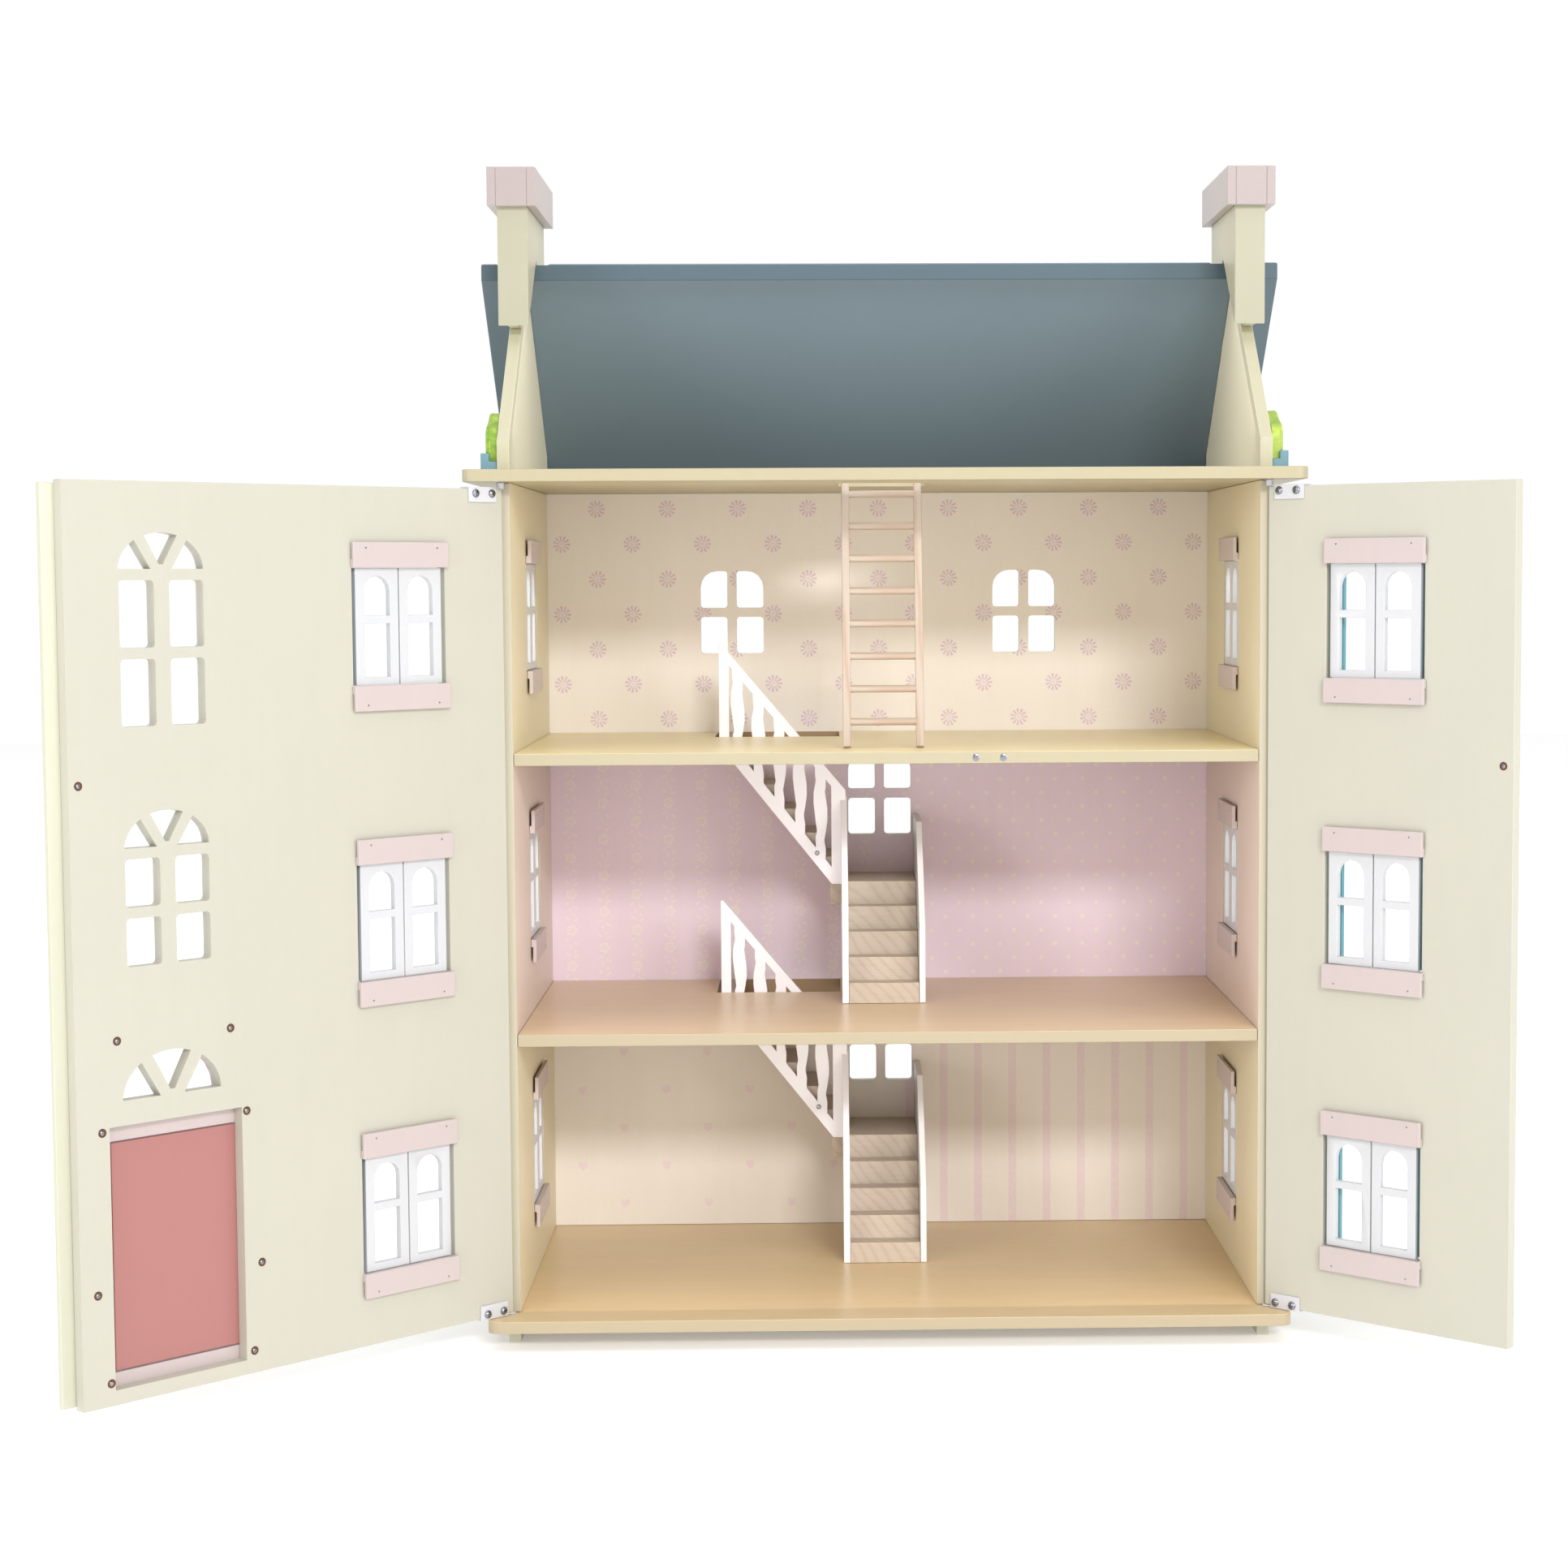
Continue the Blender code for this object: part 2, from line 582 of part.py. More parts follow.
# ---------------------------------------------------------------- windows, panels and door
def casement_mesh(name, width, height, side):
    """A casement about its own pin axis. side 1 reaches along +X, side -1 along -X."""
    stile = 0.0072
    rail = 0.0055
    start = -PIN_INSET
    end = width - PIN_INSET
    outline = rectangle(start, end, 0, height)
    left, right = start + stile, end - stile
    lower_top = rail + 0.0378
    lower = rectangle(left, right, rail, lower_top)
    half = (right - left) / 2
    spring = height - 0.0055 - 0.0105
    arch = arc(((left + right) / 2, spring), half, 0.0105, 0, 180, 8)
    upper = [(left, lower_top + rail), (right, lower_top + rail)] + arch
    if side < 0:
        outline, lower, upper = mirrored(outline), mirrored(lower), mirrored(upper)
    return extruded_mesh(name, "xz", outline, [lower, upper], PIN_INSET - CASEMENT_THICKNESS, PIN_INSET)


def build_window(prefix, location, rotation_z, mat, parent=None):
    """Two casements in an opening; location is the opening's bottom centre on the wall's inner face."""
    frame = pivot(prefix + "_opening", location, rotation=(0, 0, rotation_z), parent=parent)
    height = WINDOW_HEIGHT - 2 * CASEMENT_GAP
    for side, tag in ((1, "a"), (-1, "b")):
        name = "%s_casement_%s" % (prefix, tag)
        mesh = casement_mesh(name, CASEMENT_WIDTH, height, side)
        axis_x = -side * (CASEMENT_WIDTH + CASEMENT_GAP / 2 - PIN_INSET)
        add_object(name, mesh, mat["white"], frame, (axis_x, -PIN_INSET - GAP, CASEMENT_GAP))


def fan_panes(centre, bottom, half_width, rise):
    """Three panes under a low arch: a wedge between two slanting bars, and a pane on each side."""
    k = half_width / 0.0323
    foot = (0.0015 * k, 0.003 * k)
    side_arc = arc((0, 0), half_width, rise, 4, 52, 5)
    wedge_arc = arc((0, 0), half_width, rise, 67, 113, 5)
    wedge = [(-foot[0], foot[1]), foot] + wedge_arc
    pane = [(0.0078 * k, 0)] + [(half_width, 0)] + side_arc
    return [shifted(wedge, centre, bottom), shifted(pane, centre, bottom), shifted(mirrored(pane), centre, bottom)]


def tall_window(centre, bottom, pane_height):
    """Two by two panes with a fan of three on top."""
    bar = 0.0115
    rail = 0.0073
    pane = 0.0263
    radius = 0.0025
    holes = []
    for row in range(2):
        low = bottom + row * (pane_height + rail)
        for side in (-1, 1):
            left, right = sorted((centre + side * bar / 2, centre + side * (bar / 2 + pane)))
            holes.append(rounded_rectangle(left, right, low, low + pane_height, (radius,) * 4, 2))
    holes += fan_panes(centre, bottom + 2 * (pane_height + rail), 0.0323, 0.0240)
    return holes


def panel_window_holes(centre):
    half = WINDOW_WIDTH / 2
    low = [BOARD + PANEL_WINDOW_SILL + (ROOM_HEIGHT + BOARD) * i for i in range(3)]
    return [rectangle(centre - half, centre + half, z, z + WINDOW_HEIGHT) for z in low]


def build_bracket(name, hinge, direction, top, mat):
    """Pivot bracket: a plate on the panel's inner face and a knuckle on the pivot axis."""
    plate = (0.0060, 0.0310)
    drop = 0.0096
    pin_radius = 0.0028
    thickness = 0.0011 if top else 0.0009
    edge = BOARD + (PANEL_TOP if top else PANEL_BOTTOM)
    up = 1 if top else -1
    inner = PIVOT_TO_INNER_FACE
    face = inner + GAP
    section = [(face, edge - up * drop), (face + 0.0011, edge - up * drop),
               (face + 0.0011, edge + up * (GAP + thickness)), (inner - BOARD, edge + up * (GAP + thickness)),
               (inner - BOARD, edge + up * GAP), (face, edge + up * GAP)]
    u0, u1 = sorted(direction * u for u in plate)
    body = board(name, "yz", section, u0, u1, mat["white_metal"], parent=hinge)
    z0, z1 = sorted((edge + up * GAP, edge + up * (GAP + thickness)))
    u0, u1 = sorted((direction * 0.0002, direction * (plate[0] + 0.001)))
    tab = tool(name + "_tab", "xy", rectangle(u0, u1, -pin_radius, inner), z0, z1, parent=hinge)
    combine(body, tab, "UNION")
    disc = arc((0, 0), pin_radius, pin_radius, 0, 345, 23)
    z0, z1 = sorted((edge + up * GAP, CEILING - GAP if top else BOARD + GAP))
    combine(body, tool(name + "_pin", "xy", disc, z0, z1, parent=hinge), "UNION")


def build_front_panel(side, hinge, mat):
    """A front panel in its hinge's frame: X runs along it, +Y is its inner side when shut."""
    direction = -side
    name = "left_front_panel" if side < 0 else "right_front_panel"
    reach = LEFT_PANEL_REACH if side < 0 else RIGHT_PANEL_REACH
    low = BOARD + PANEL_BOTTOM
    high = BOARD + PANEL_TOP
    outline = rectangle(PANEL_START, reach, low, high)
    if direction < 0:
        outline = mirrored(outline)
    centre = LEFT_WINDOW_CENTRE if side < 0 else -RIGHT_WINDOW_CENTRE
    holes = panel_window_holes(centre)
    if side < 0:
        holes += tall_window(FAR_WINDOW_CENTRE, BOARD + 0.4496, 0.0444)
        holes += tall_window(FAR_WINDOW_CENTRE, BOARD + 0.2914, 0.0319)
        holes += fan_panes(FAR_WINDOW_CENTRE, BOARD + 0.2035, 0.0377, 0.0300)
        holes.append(rectangle(DOOR_OPENING[0], DOOR_OPENING[1], BOARD + DOOR_OPENING_Z[0],
                               BOARD + DOOR_OPENING_Z[1]))
    inner = PIVOT_TO_INNER_FACE
    board(name, "xz", outline, inner - BOARD, inner, mat["cream"], holes, parent=hinge)
    prefix = "left_panel" if side < 0 else "right_panel"
    for i, level in enumerate(("ground", "middle", "upper")):
        z = BOARD + PANEL_WINDOW_SILL + (ROOM_HEIGHT + BOARD) * i
        build_window("%s_%s" % (prefix, level), (centre, inner, z), 0.0, mat, hinge)
    build_bracket(prefix + "_top_hinge", hinge, direction, True, mat)
    build_bracket(prefix + "_bottom_hinge", hinge, direction, False, mat)


def build_astragal(hinge, mat):
    """Cover strip on the outer side of the left panel's free edge."""
    lap = 0.0068
    proud = 0.0100
    thickness = 0.0045
    outer_face = PIVOT_TO_INNER_FACE - BOARD - GAP
    outline = rectangle(LEFT_PANEL_REACH - lap, LEFT_PANEL_REACH + proud, BOARD + PANEL_BOTTOM + 0.002,
                        BOARD + PANEL_TOP - 0.002)
    board("astragal_strip", "xz", outline, outer_face - thickness, outer_face, mat["cream"], parent=hinge)


def build_porch(hinge, mat):
    """Door surround on the outer side: a frame board, two pilasters and a pediment."""
    frame_thickness = 0.0062
    pilaster_depth = 0.0140
    pilaster_width = 0.0110
    pilaster_centre = 0.0635
    canopy_depth = 0.0300
    face = PIVOT_TO_INNER_FACE - BOARD - GAP
    half = pilaster_centre + pilaster_width / 2
    left, right = DOOR_CENTRE - half, DOOR_CENTRE + half
    low = BOARD + 0.0030
    head = BOARD + 0.2365
    outline = rectangle(left, right, low, head + 0.0100)
    reach = LEAF_WIDTH / 2 + LEAF_CLEARANCE
    leaf_hole = rectangle(LEAF_CENTRE - reach, LEAF_CENTRE + reach, BOARD + LEAF_Z[0] - LEAF_CLEARANCE,
                          BOARD + LEAF_Z[1] + LEAF_CLEARANCE)
    light = arc((FAR_WINDOW_CENTRE, BOARD + 0.2015), 0.0400, 0.0335, 0, 180, 12)
    body = board("porch_surround", "xz", outline, face - frame_thickness, face, mat["pale_pink"],
                 [leaf_hole, light], parent=hinge)
    for x in (left, right - pilaster_width):
        pilaster = rectangle(x, x + pilaster_width, low, head)
        combine(body, tool("pilaster_%d" % (x > DOOR_CENTRE), "xz", pilaster, face - pilaster_depth,
                           face - 0.001, parent=hinge), "UNION")
    edge = 0.0006
    pediment = [(left - edge, head), (right + edge, head), (right + edge, head + 0.0070),
                (DOOR_CENTRE, head + 0.0290), (left - edge, head + 0.0070)]
    combine(body, tool("pediment", "xz", pediment, face - canopy_depth, face, parent=hinge), "UNION")
    step = rectangle(left + pilaster_width / 2, right - pilaster_width / 2, low, BOARD + 0.0100)
    combine(body, tool("doorstep", "xz", step, face - 0.0180, face - 0.001, parent=hinge), "UNION")


def build_door(hinge, mat):
    face = PIVOT_TO_INNER_FACE - BOARD - GAP
    width = LEAF_WIDTH
    low, high = (BOARD + z for z in LEAF_Z)
    inset, from_front = DOOR_PIN
    axis_x = LEAF_CENTRE - width / 2 + inset
    axis_y = face - DOOR_THICKNESS + from_front
    axis = pivot("front_door_axis", (axis_x, axis_y, 0), parent=hinge)
    outline = rectangle(-inset, width - inset, low, high)
    board("front_door", "xz", outline, -from_front, DOOR_THICKNESS - from_front, mat["dusty_pink"], parent=axis)


def build_fronts(mat):
    for side, rest in ((-1, LEFT_PANEL_REST), (1, RIGHT_PANEL_REST)):
        name = "left_panel_axis" if side < 0 else "right_panel_axis"
        hinge = pivot(name, (side * PIVOT_X, y_at(-PIVOT_FORWARD), 0), rotation=(0, 0, rest))
        build_front_panel(side, hinge, mat)
        if side < 0:
            build_astragal(hinge, mat)
            build_porch(hinge, mat)
            build_door(hinge, mat)


def build_side_windows(mat):
    for side, wall, turn in ((-1, "left_wall", -math.pi / 2), (1, "right_wall", math.pi / 2)):
        for level, floor in zip(("ground", "middle", "upper"), FLOORS):
            place = (side * INNER_HALF_WIDTH, 0.0, floor + SIDE_WINDOW_SILL)
            build_window("%s_%s" % (wall, level), place, turn, mat)


def main():
    clear_scene()
    mat = {
        "cream": make_material("cream_paint", (0.80, 0.76, 0.60)),
        "edge_cream": make_material("deck_cream_paint", (0.82, 0.78, 0.62)),
        "floor_tan": make_material("floor_tan", (0.58, 0.41, 0.23), 0.4),
        "slate": make_material("slate_blue_paint", (0.16, 0.21, 0.23)),
        "pale_pink": make_material("pale_pink_paint", (0.80, 0.64, 0.62)),
        "dusty_pink": make_material("dusty_pink_paint", (0.60, 0.24, 0.23)),
        "white": make_material("white_paint", (0.86, 0.86, 0.86), 0.4),
        "white_metal": make_material("hinge_white", (0.85, 0.85, 0.87), 0.3),
        "pine": make_material("bare_pine", (0.62, 0.42, 0.26), 0.6),
        "beech": make_material("bare_beech", (0.65, 0.43, 0.28), 0.6),
        "pale_blue": make_material("planter_blue_paint", (0.45, 0.62, 0.66)),
    }
    build_base(mat)
    build_side_walls(mat)
    build_back_wall(mat)
    build_floors(mat)
    build_gables(mat)
    build_chimney(-1, mat)
    build_chimney(1, mat)
    build_roof(mat)
    build_planters(mat)
    build_staircase("lower", FLOORS[0], mat)
    build_staircase("upper", FLOORS[1], mat)
    build_ladder(mat)
    build_fronts(mat)
    build_side_windows(mat)
    bpy.context.view_layer.update()


main()
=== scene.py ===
"""Look of the wooden dollhouse: paints, printed papers, trims, screws, ladder, floor, light and camera."""

import json
import math

import bmesh
import bpy
from mathutils import Euler, Matrix, Vector
from mathutils.geometry import tessellate_polygon


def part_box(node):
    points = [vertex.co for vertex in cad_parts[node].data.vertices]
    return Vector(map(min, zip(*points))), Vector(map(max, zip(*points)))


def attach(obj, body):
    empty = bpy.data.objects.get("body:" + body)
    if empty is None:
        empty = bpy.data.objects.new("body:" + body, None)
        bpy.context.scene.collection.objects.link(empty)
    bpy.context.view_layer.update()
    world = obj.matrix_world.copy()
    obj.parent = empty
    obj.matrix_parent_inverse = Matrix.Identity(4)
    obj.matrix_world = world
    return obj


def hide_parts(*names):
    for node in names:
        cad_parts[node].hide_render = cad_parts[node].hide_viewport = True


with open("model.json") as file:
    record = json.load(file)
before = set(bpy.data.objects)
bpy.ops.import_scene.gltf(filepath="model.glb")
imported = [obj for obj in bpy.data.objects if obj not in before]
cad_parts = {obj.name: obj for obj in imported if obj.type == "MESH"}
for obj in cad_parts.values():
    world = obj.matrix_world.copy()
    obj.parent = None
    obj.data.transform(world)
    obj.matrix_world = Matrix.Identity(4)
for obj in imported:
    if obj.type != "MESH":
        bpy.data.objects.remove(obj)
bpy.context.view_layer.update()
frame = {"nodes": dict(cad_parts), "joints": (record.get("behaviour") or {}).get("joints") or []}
NODES = frame["nodes"]
JOINTS = {joint["name"]: joint for joint in frame["joints"]}

# ---------------------------------------------------------------- places read from the frame
BASE_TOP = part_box("base_board")[1].z
FLOORS = [BASE_TOP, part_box("middle_floor_board")[1].z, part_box("upper_floor_board")[1].z]
CEILING, EAVES = (corner.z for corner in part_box("top_board"))
WALL_IN = -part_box("left_side_wall")[1].x
WALL_OUT = -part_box("left_side_wall")[0].x
FRONT_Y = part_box("left_side_wall")[0].y
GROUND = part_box("left_foot_runner")[0].z
PANEL_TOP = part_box("left_front_panel")[1].z
BOARD = 0.009                            # thickness of the walls and panels
PANEL_INNER = 0.0015                     # the panels' inner face in their hinge's frame
PANEL_OUTER = PANEL_INNER - BOARD
OPENING_HEIGHT = 0.0842                  # every window
OPENING_WIDTH = 0.081
WINDOW_CENTRES = {-1: 0.0935, 1: 0.0905}     # from the hinge; -1 is the left panel and 1 the right
TRIM_SHIFT = {-1: 0.0, 1: 0.0010}        # trims stand this much further from the hinge
PANEL_SILL = 0.0533                      # lowest panel windows, above the base board
WALL_SILL = 0.0567                       # side windows, above their storey's floor


def hinge_matrix(side):
    """Frame of a front panel: X along it from its hinge, +Y its inner side, as it stands at rest."""
    joint = JOINTS["left_front_hinge" if side < 0 else "right_front_hinge"]
    closing = joint["range_deg"][1] if side < 0 else joint["range_deg"][0]
    x, y, _ = joint["pos_m"]
    return Matrix.Translation((x, y, 0)) @ Matrix.Rotation(math.radians(-closing), 4, "Z")


HALF_TURN = Matrix.Rotation(math.pi, 4, "Z")
PANEL_FRAME = {side: hinge_matrix(side) for side in (-1, 1)}
PANEL_BODY = {-1: "left_front", 1: "right_front"}


# ---------------------------------------------------------------- node arithmetic
def srgb(red, green, blue):
    """Linear colour from 0 to 255 display values."""
    def linear(value):
        value /= 255
        return value / 12.92 if value <= 0.04045 else ((value + 0.055) / 1.055) ** 2.4
    return (linear(red), linear(green), linear(blue), 1.0)


class Value:
    """A number at every point of a material; arithmetic on it adds Math nodes."""

    def __init__(self, tree, source):
        self.tree = tree
        self.source = source

    def make(self, operation, *others, clamp=False):
        node = self.tree.nodes.new("ShaderNodeMath")
        node.operation = operation
        node.use_clamp = clamp
        for slot, item in enumerate((self,) + others):
            if isinstance(item, Value):
                self.tree.links.new(item.source, node.inputs[slot])
            else:
                node.inputs[slot].default_value = item
        return Value(self.tree, node.outputs[0])

    def __add__(self, other):
        return self.make("ADD", other)

    def __sub__(self, other):
        return self.make("SUBTRACT", other)

    def __mul__(self, other):
        return self.make("MULTIPLY", other)

    def __truediv__(self, other):
        return self.make("DIVIDE", other)

    def __pow__(self, other):
        return self.make("POWER", other)

    def fn(self, operation, *others):
        return self.make(operation, *others)

    def below(self, limit, soft=0.0004):
        """1 where the value is under limit, 0 over it, with a soft edge."""
        return ((self - limit) * (-1.0 / soft)).make("ADD", 0.5, clamp=True)

    def above(self, limit, soft=0.0004):
        return ((self - limit) * (1.0 / soft)).make("ADD", 0.5, clamp=True)

    def between(self, low, high, soft=0.0004):
        return self.above(low, soft) * self.below(high, soft)

    def cell(self, pitch, origin=0.0):
        """Distance from the nearest of a row of points, with its sign."""
        return (((self - origin) / pitch + 0.5).fn("FRACT") - 0.5) * pitch


class Surface:
    """One material and its nodes."""

    def __init__(self, name, roughness=0.5, **sockets):
        self.material = bpy.data.materials.new(name)
        self.material.use_nodes = True
        self.tree = self.material.node_tree
        self.shader = self.tree.nodes["Principled BSDF"]
        self.shader.inputs["Roughness"].default_value = roughness
        for socket, value in sockets.items():
            self.shader.inputs[socket.replace("_", " ")].default_value = value
        self.coords = self.tree.nodes.new("ShaderNodeTexCoord")
        self.x, self.y, self.z = self.split(self.coords.outputs["Object"])
        self.nx, self.ny, self.nz = self.split(self.coords.outputs["Normal"])

    def split(self, vector):
        node = self.tree.nodes.new("ShaderNodeSeparateXYZ")
        self.tree.links.new(vector, node.inputs[0])
        return [Value(self.tree, output) for output in node.outputs]

    def noise(self, scale, detail=2.0, rough=0.5, stretch=(1, 1, 1)):
        """Noise from 0 to 1 with a mean near a half."""
        node = self.tree.nodes.new("ShaderNodeTexNoise")
        node.inputs["Scale"].default_value = scale
        node.inputs["Detail"].default_value = detail
        node.inputs["Roughness"].default_value = rough
        source = self.coords.outputs["Object"]
        if stretch != (1, 1, 1):
            mapping = self.tree.nodes.new("ShaderNodeMapping")
            mapping.inputs["Scale"].default_value = stretch
            self.tree.links.new(source, mapping.inputs[0])
            source = mapping.outputs[0]
        self.tree.links.new(source, node.inputs["Vector"])
        return Value(self.tree, node.outputs["Fac"])

    def mix(self, mask, under, over):
        """Colour over shows where mask is 1."""
        node = self.tree.nodes.new("ShaderNodeMix")
        node.data_type = "RGBA"
        for slot, item in ((0, mask), (6, under), (7, over)):      # the colour mix's factor, A and B
            if isinstance(item, Value):
                self.tree.links.new(item.source, node.inputs[slot])
            elif isinstance(item, (tuple, float, int)):
                node.inputs[slot].default_value = item
            else:
                self.tree.links.new(item, node.inputs[slot])
        return node.outputs[2]

    def shade(self, colour, factor):
        """Colour multiplied by a value near 1."""
        node = self.tree.nodes.new("ShaderNodeVectorMath")
        node.operation = "SCALE"
        if isinstance(colour, tuple):
            node.inputs[0].default_value = colour[:3]
        else:
            self.tree.links.new(colour, node.inputs[0])
        self.tree.links.new(factor.source, node.inputs["Scale"])
        return node.outputs[0]

    def finish(self, colour, bump=None, depth=0.0001, strength=0.3, rough=None):
        if isinstance(colour, tuple):
            self.shader.inputs["Base Color"].default_value = colour
        else:
            self.tree.links.new(colour, self.shader.inputs["Base Color"])
        if bump is not None:
            node = self.tree.nodes.new("ShaderNodeBump")
            node.inputs["Strength"].default_value = strength
            node.inputs["Distance"].default_value = depth
            self.tree.links.new(bump.source, node.inputs["Height"])
            self.tree.links.new(node.outputs[0], self.shader.inputs["Normal"])
        if rough is not None:
            self.tree.links.new(rough.source, self.shader.inputs["Roughness"])
        return self.material


def painted(surface, colour, cloud=0.05, speck=0.035, rough=0.42):
    """Brushed paint on board: slow clouds, fine specks and a lightly stippled skin."""
    clouds = surface.noise(11.0, 3.0)
    specks = surface.noise(620.0, 2.0, 0.6)
    strokes = surface.noise(90.0, 3.0, 0.6, stretch=(1.0, 1.0, 0.12))
    factor = (clouds - 0.5) * cloud + (specks - 0.5) * speck + (strokes - 0.5) * speck + 1.0
    height = specks * 0.6 + strokes * 0.8
    roughness = clouds * 0.10 + specks * 0.08 + (rough - 0.09)
    return surface.finish(surface.shade(colour, factor), height, 0.00012, 0.35, roughness)


def plain_paint(name, colour, **options):
    surface = Surface(name)
    return painted(surface, colour, **options)


# ---------------------------------------------------------------- colours
CREAM = srgb(189, 186, 172)
# cream lightened as painted light for the gables' shaded broad faces
GABLE_PAINTED_LIGHT_CREAM = srgb(240, 232, 206)
GABLE_EDGE = srgb(186, 181, 154)
STACK_CREAM = srgb(202, 197, 170)
# the stacks' cream darkened as painted shade on their front faces
STACK_FRONT_SHADE = srgb(166, 163, 141)
CREAM_EDGE = srgb(198, 197, 177)
DECK = srgb(174, 164, 134)
TAN = srgb(214, 190, 148)
TAN_EDGE = srgb(177, 162, 134)
MIDDLE_TAN = srgb(214, 190, 156)
MIDDLE_EDGE = srgb(176, 163, 136)
STRAW = srgb(232, 218, 172)
STRAW_EDGE = srgb(178, 168, 140)
ROOM_CREAM = srgb(214, 204, 174)
ROOM_MAUVE = srgb(214, 198, 188)
WALL_EDGE = srgb(186, 178, 156)
SLATE = srgb(122, 139, 152)
RIDGE_SLATE = srgb(70, 90, 100)
OVERHANG_SHADE_SLATE = srgb(98, 115, 126)
# slate darkened as painted shade, for the roof strips beyond the gables
PALE_PINK = srgb(193, 179, 177)
CAP_PINK = srgb(190, 180, 176)
# the caps' pink darkened as painted shade on their front faces
CAP_FRONT_SHADE = srgb(164, 151, 149)
DUSTY_PINK = srgb(169, 113, 109)
WHITE = srgb(201, 202, 205)
RAIL_WHITE = srgb(244, 243, 250)
# the stringers' white greyed as painted shade on their broad faces
STRINGER_SHADE_GREY = srgb(190, 186, 186)
STRINGER_EDGE = srgb(226, 225, 226)
TEAL = srgb(96, 160, 170)
# the shutters' teal darkened as painted shade, for the window jambs' narrow gap
SHADED_JAMB_TEAL = srgb(66, 104, 108)
LEAF_GREEN = srgb(156, 182, 56)
LEAF_DARK = srgb(116, 152, 44)
LEAF_TIP = srgb(196, 214, 96)
TROUGH_BLUE = srgb(104, 142, 154)
PINE = srgb(188, 176, 162)
PINE_GRAIN = srgb(166, 134, 104)
BEECH = srgb(173, 161, 149)
BEECH_GRAIN = srgb(160, 122, 96)
RUNG_GRAIN = srgb(160, 126, 100)
# bare wood darkened as painted shade, for the discs that stand for drilled holes
HOLE_WOOD_AND_SHADE = srgb(92, 58, 38)
ENAMEL = srgb(205, 205, 209)
STEEL = srgb(150, 152, 158)
TOP_PAPER = srgb(226, 219, 211)
DAISY_INK = srgb(200, 172, 194)
MIDDLE_PAPER = srgb(224, 207, 220)
VINE_INK = srgb(231, 224, 210)
GROUND_PAPER = srgb(228, 221, 213)
HEART_INK = srgb(222, 190, 208)
# dark tan used as painted shade on the back wall along each floor board
FLOOR_SHADE_TAN = srgb(150, 124, 90)


# ---------------------------------------------------------------- printed papers
def daisies(u, v, pitch_u, pitch_v, origin_u, origin_v, radius):
    """One lattice of daisies with narrow petals."""
    x = u.cell(pitch_u, origin_u)
    y = v.cell(pitch_v, origin_v)
    r = (x * x + y * y).fn("SQRT")
    petals = (y.fn("ARCTAN2", x) * 11.0).fn("COSINE")
    blade = petals.above(-0.15, 0.5) * r.between(radius * 0.30, radius * 0.98, radius * 0.12)
    return blade + r.below(radius * 0.20, radius * 0.12) * 0.5


def polka_dots(u, v, pitch_u, pitch_v, origin_u, origin_v, radius=0.0018):
    x = u.cell(pitch_u, origin_u)
    y = v.cell(pitch_v, origin_v)
    return (x * x + y * y).fn("SQRT").below(radius, radius / 2)


def hearts(u, v, pitch_u, pitch_v, origin_u, origin_v, size):
    x = u.cell(pitch_u, origin_u) / size
    y = v.cell(pitch_v, origin_v) / size + 0.1
    body = x * x + y * y - 1.0
    return (body * body * body - x * x * y * y * y).below(0.0, 0.3)


def blossom(x, y, radius):
    """Outline of a five-petalled flower and its eye."""
    r = (x * x + y * y).fn("SQRT")
    lobes = (y.fn("ARCTAN2", x) * 5.0).fn("COSINE") * (radius * 0.16) + radius
    ring = (r - lobes).fn("ABSOLUTE").below(radius * 0.24, radius * 0.2)
    eye = r.between(radius * 0.22, radius * 0.46, radius * 0.2)
    return ring + eye * 0.7


def leaf(x, y, cx, cy, length, width, angle):
    ca, sa = math.cos(angle), math.sin(angle)
    along = (x - cx) * ca + (y - cy) * sa
    across = (y - cy) * ca - (x - cx) * sa
    return ((along / length) ** 2.0 + (across / width) ** 2.0).below(1.0, 0.5)


def vine(u, v, pitch_u, period, origin_u, origin_v):
    """A climbing stem with flowers, leaf pairs and berries."""
    x = u.cell(pitch_u, origin_u)
    y = v.cell(period, origin_v)
    wave = (v * (2 * math.pi / period)).fn("SINE") * 0.0016
    stem = (x - wave).fn("ABSOLUTE").below(0.00035, 0.0004) * 0.35
    mask = blossom(x, y, 0.0034) + stem
    for cx, cy, length, width, angle in (
            (0.0036, 0.0085, 0.0024, 0.0010, 0.7), (-0.0034, 0.0102, 0.0024, 0.0010, 2.4),
            (0.0028, 0.0128, 0.0018, 0.0008, 1.0), (-0.0038, -0.0082, 0.0022, 0.0010, -2.5),
            (0.0036, -0.0110, 0.0024, 0.0010, -0.6), (-0.0012, -0.0132, 0.0016, 0.0010, -1.5)):
        mask = mask + leaf(x, y, cx, cy, length, width, angle) * 0.8
    return mask


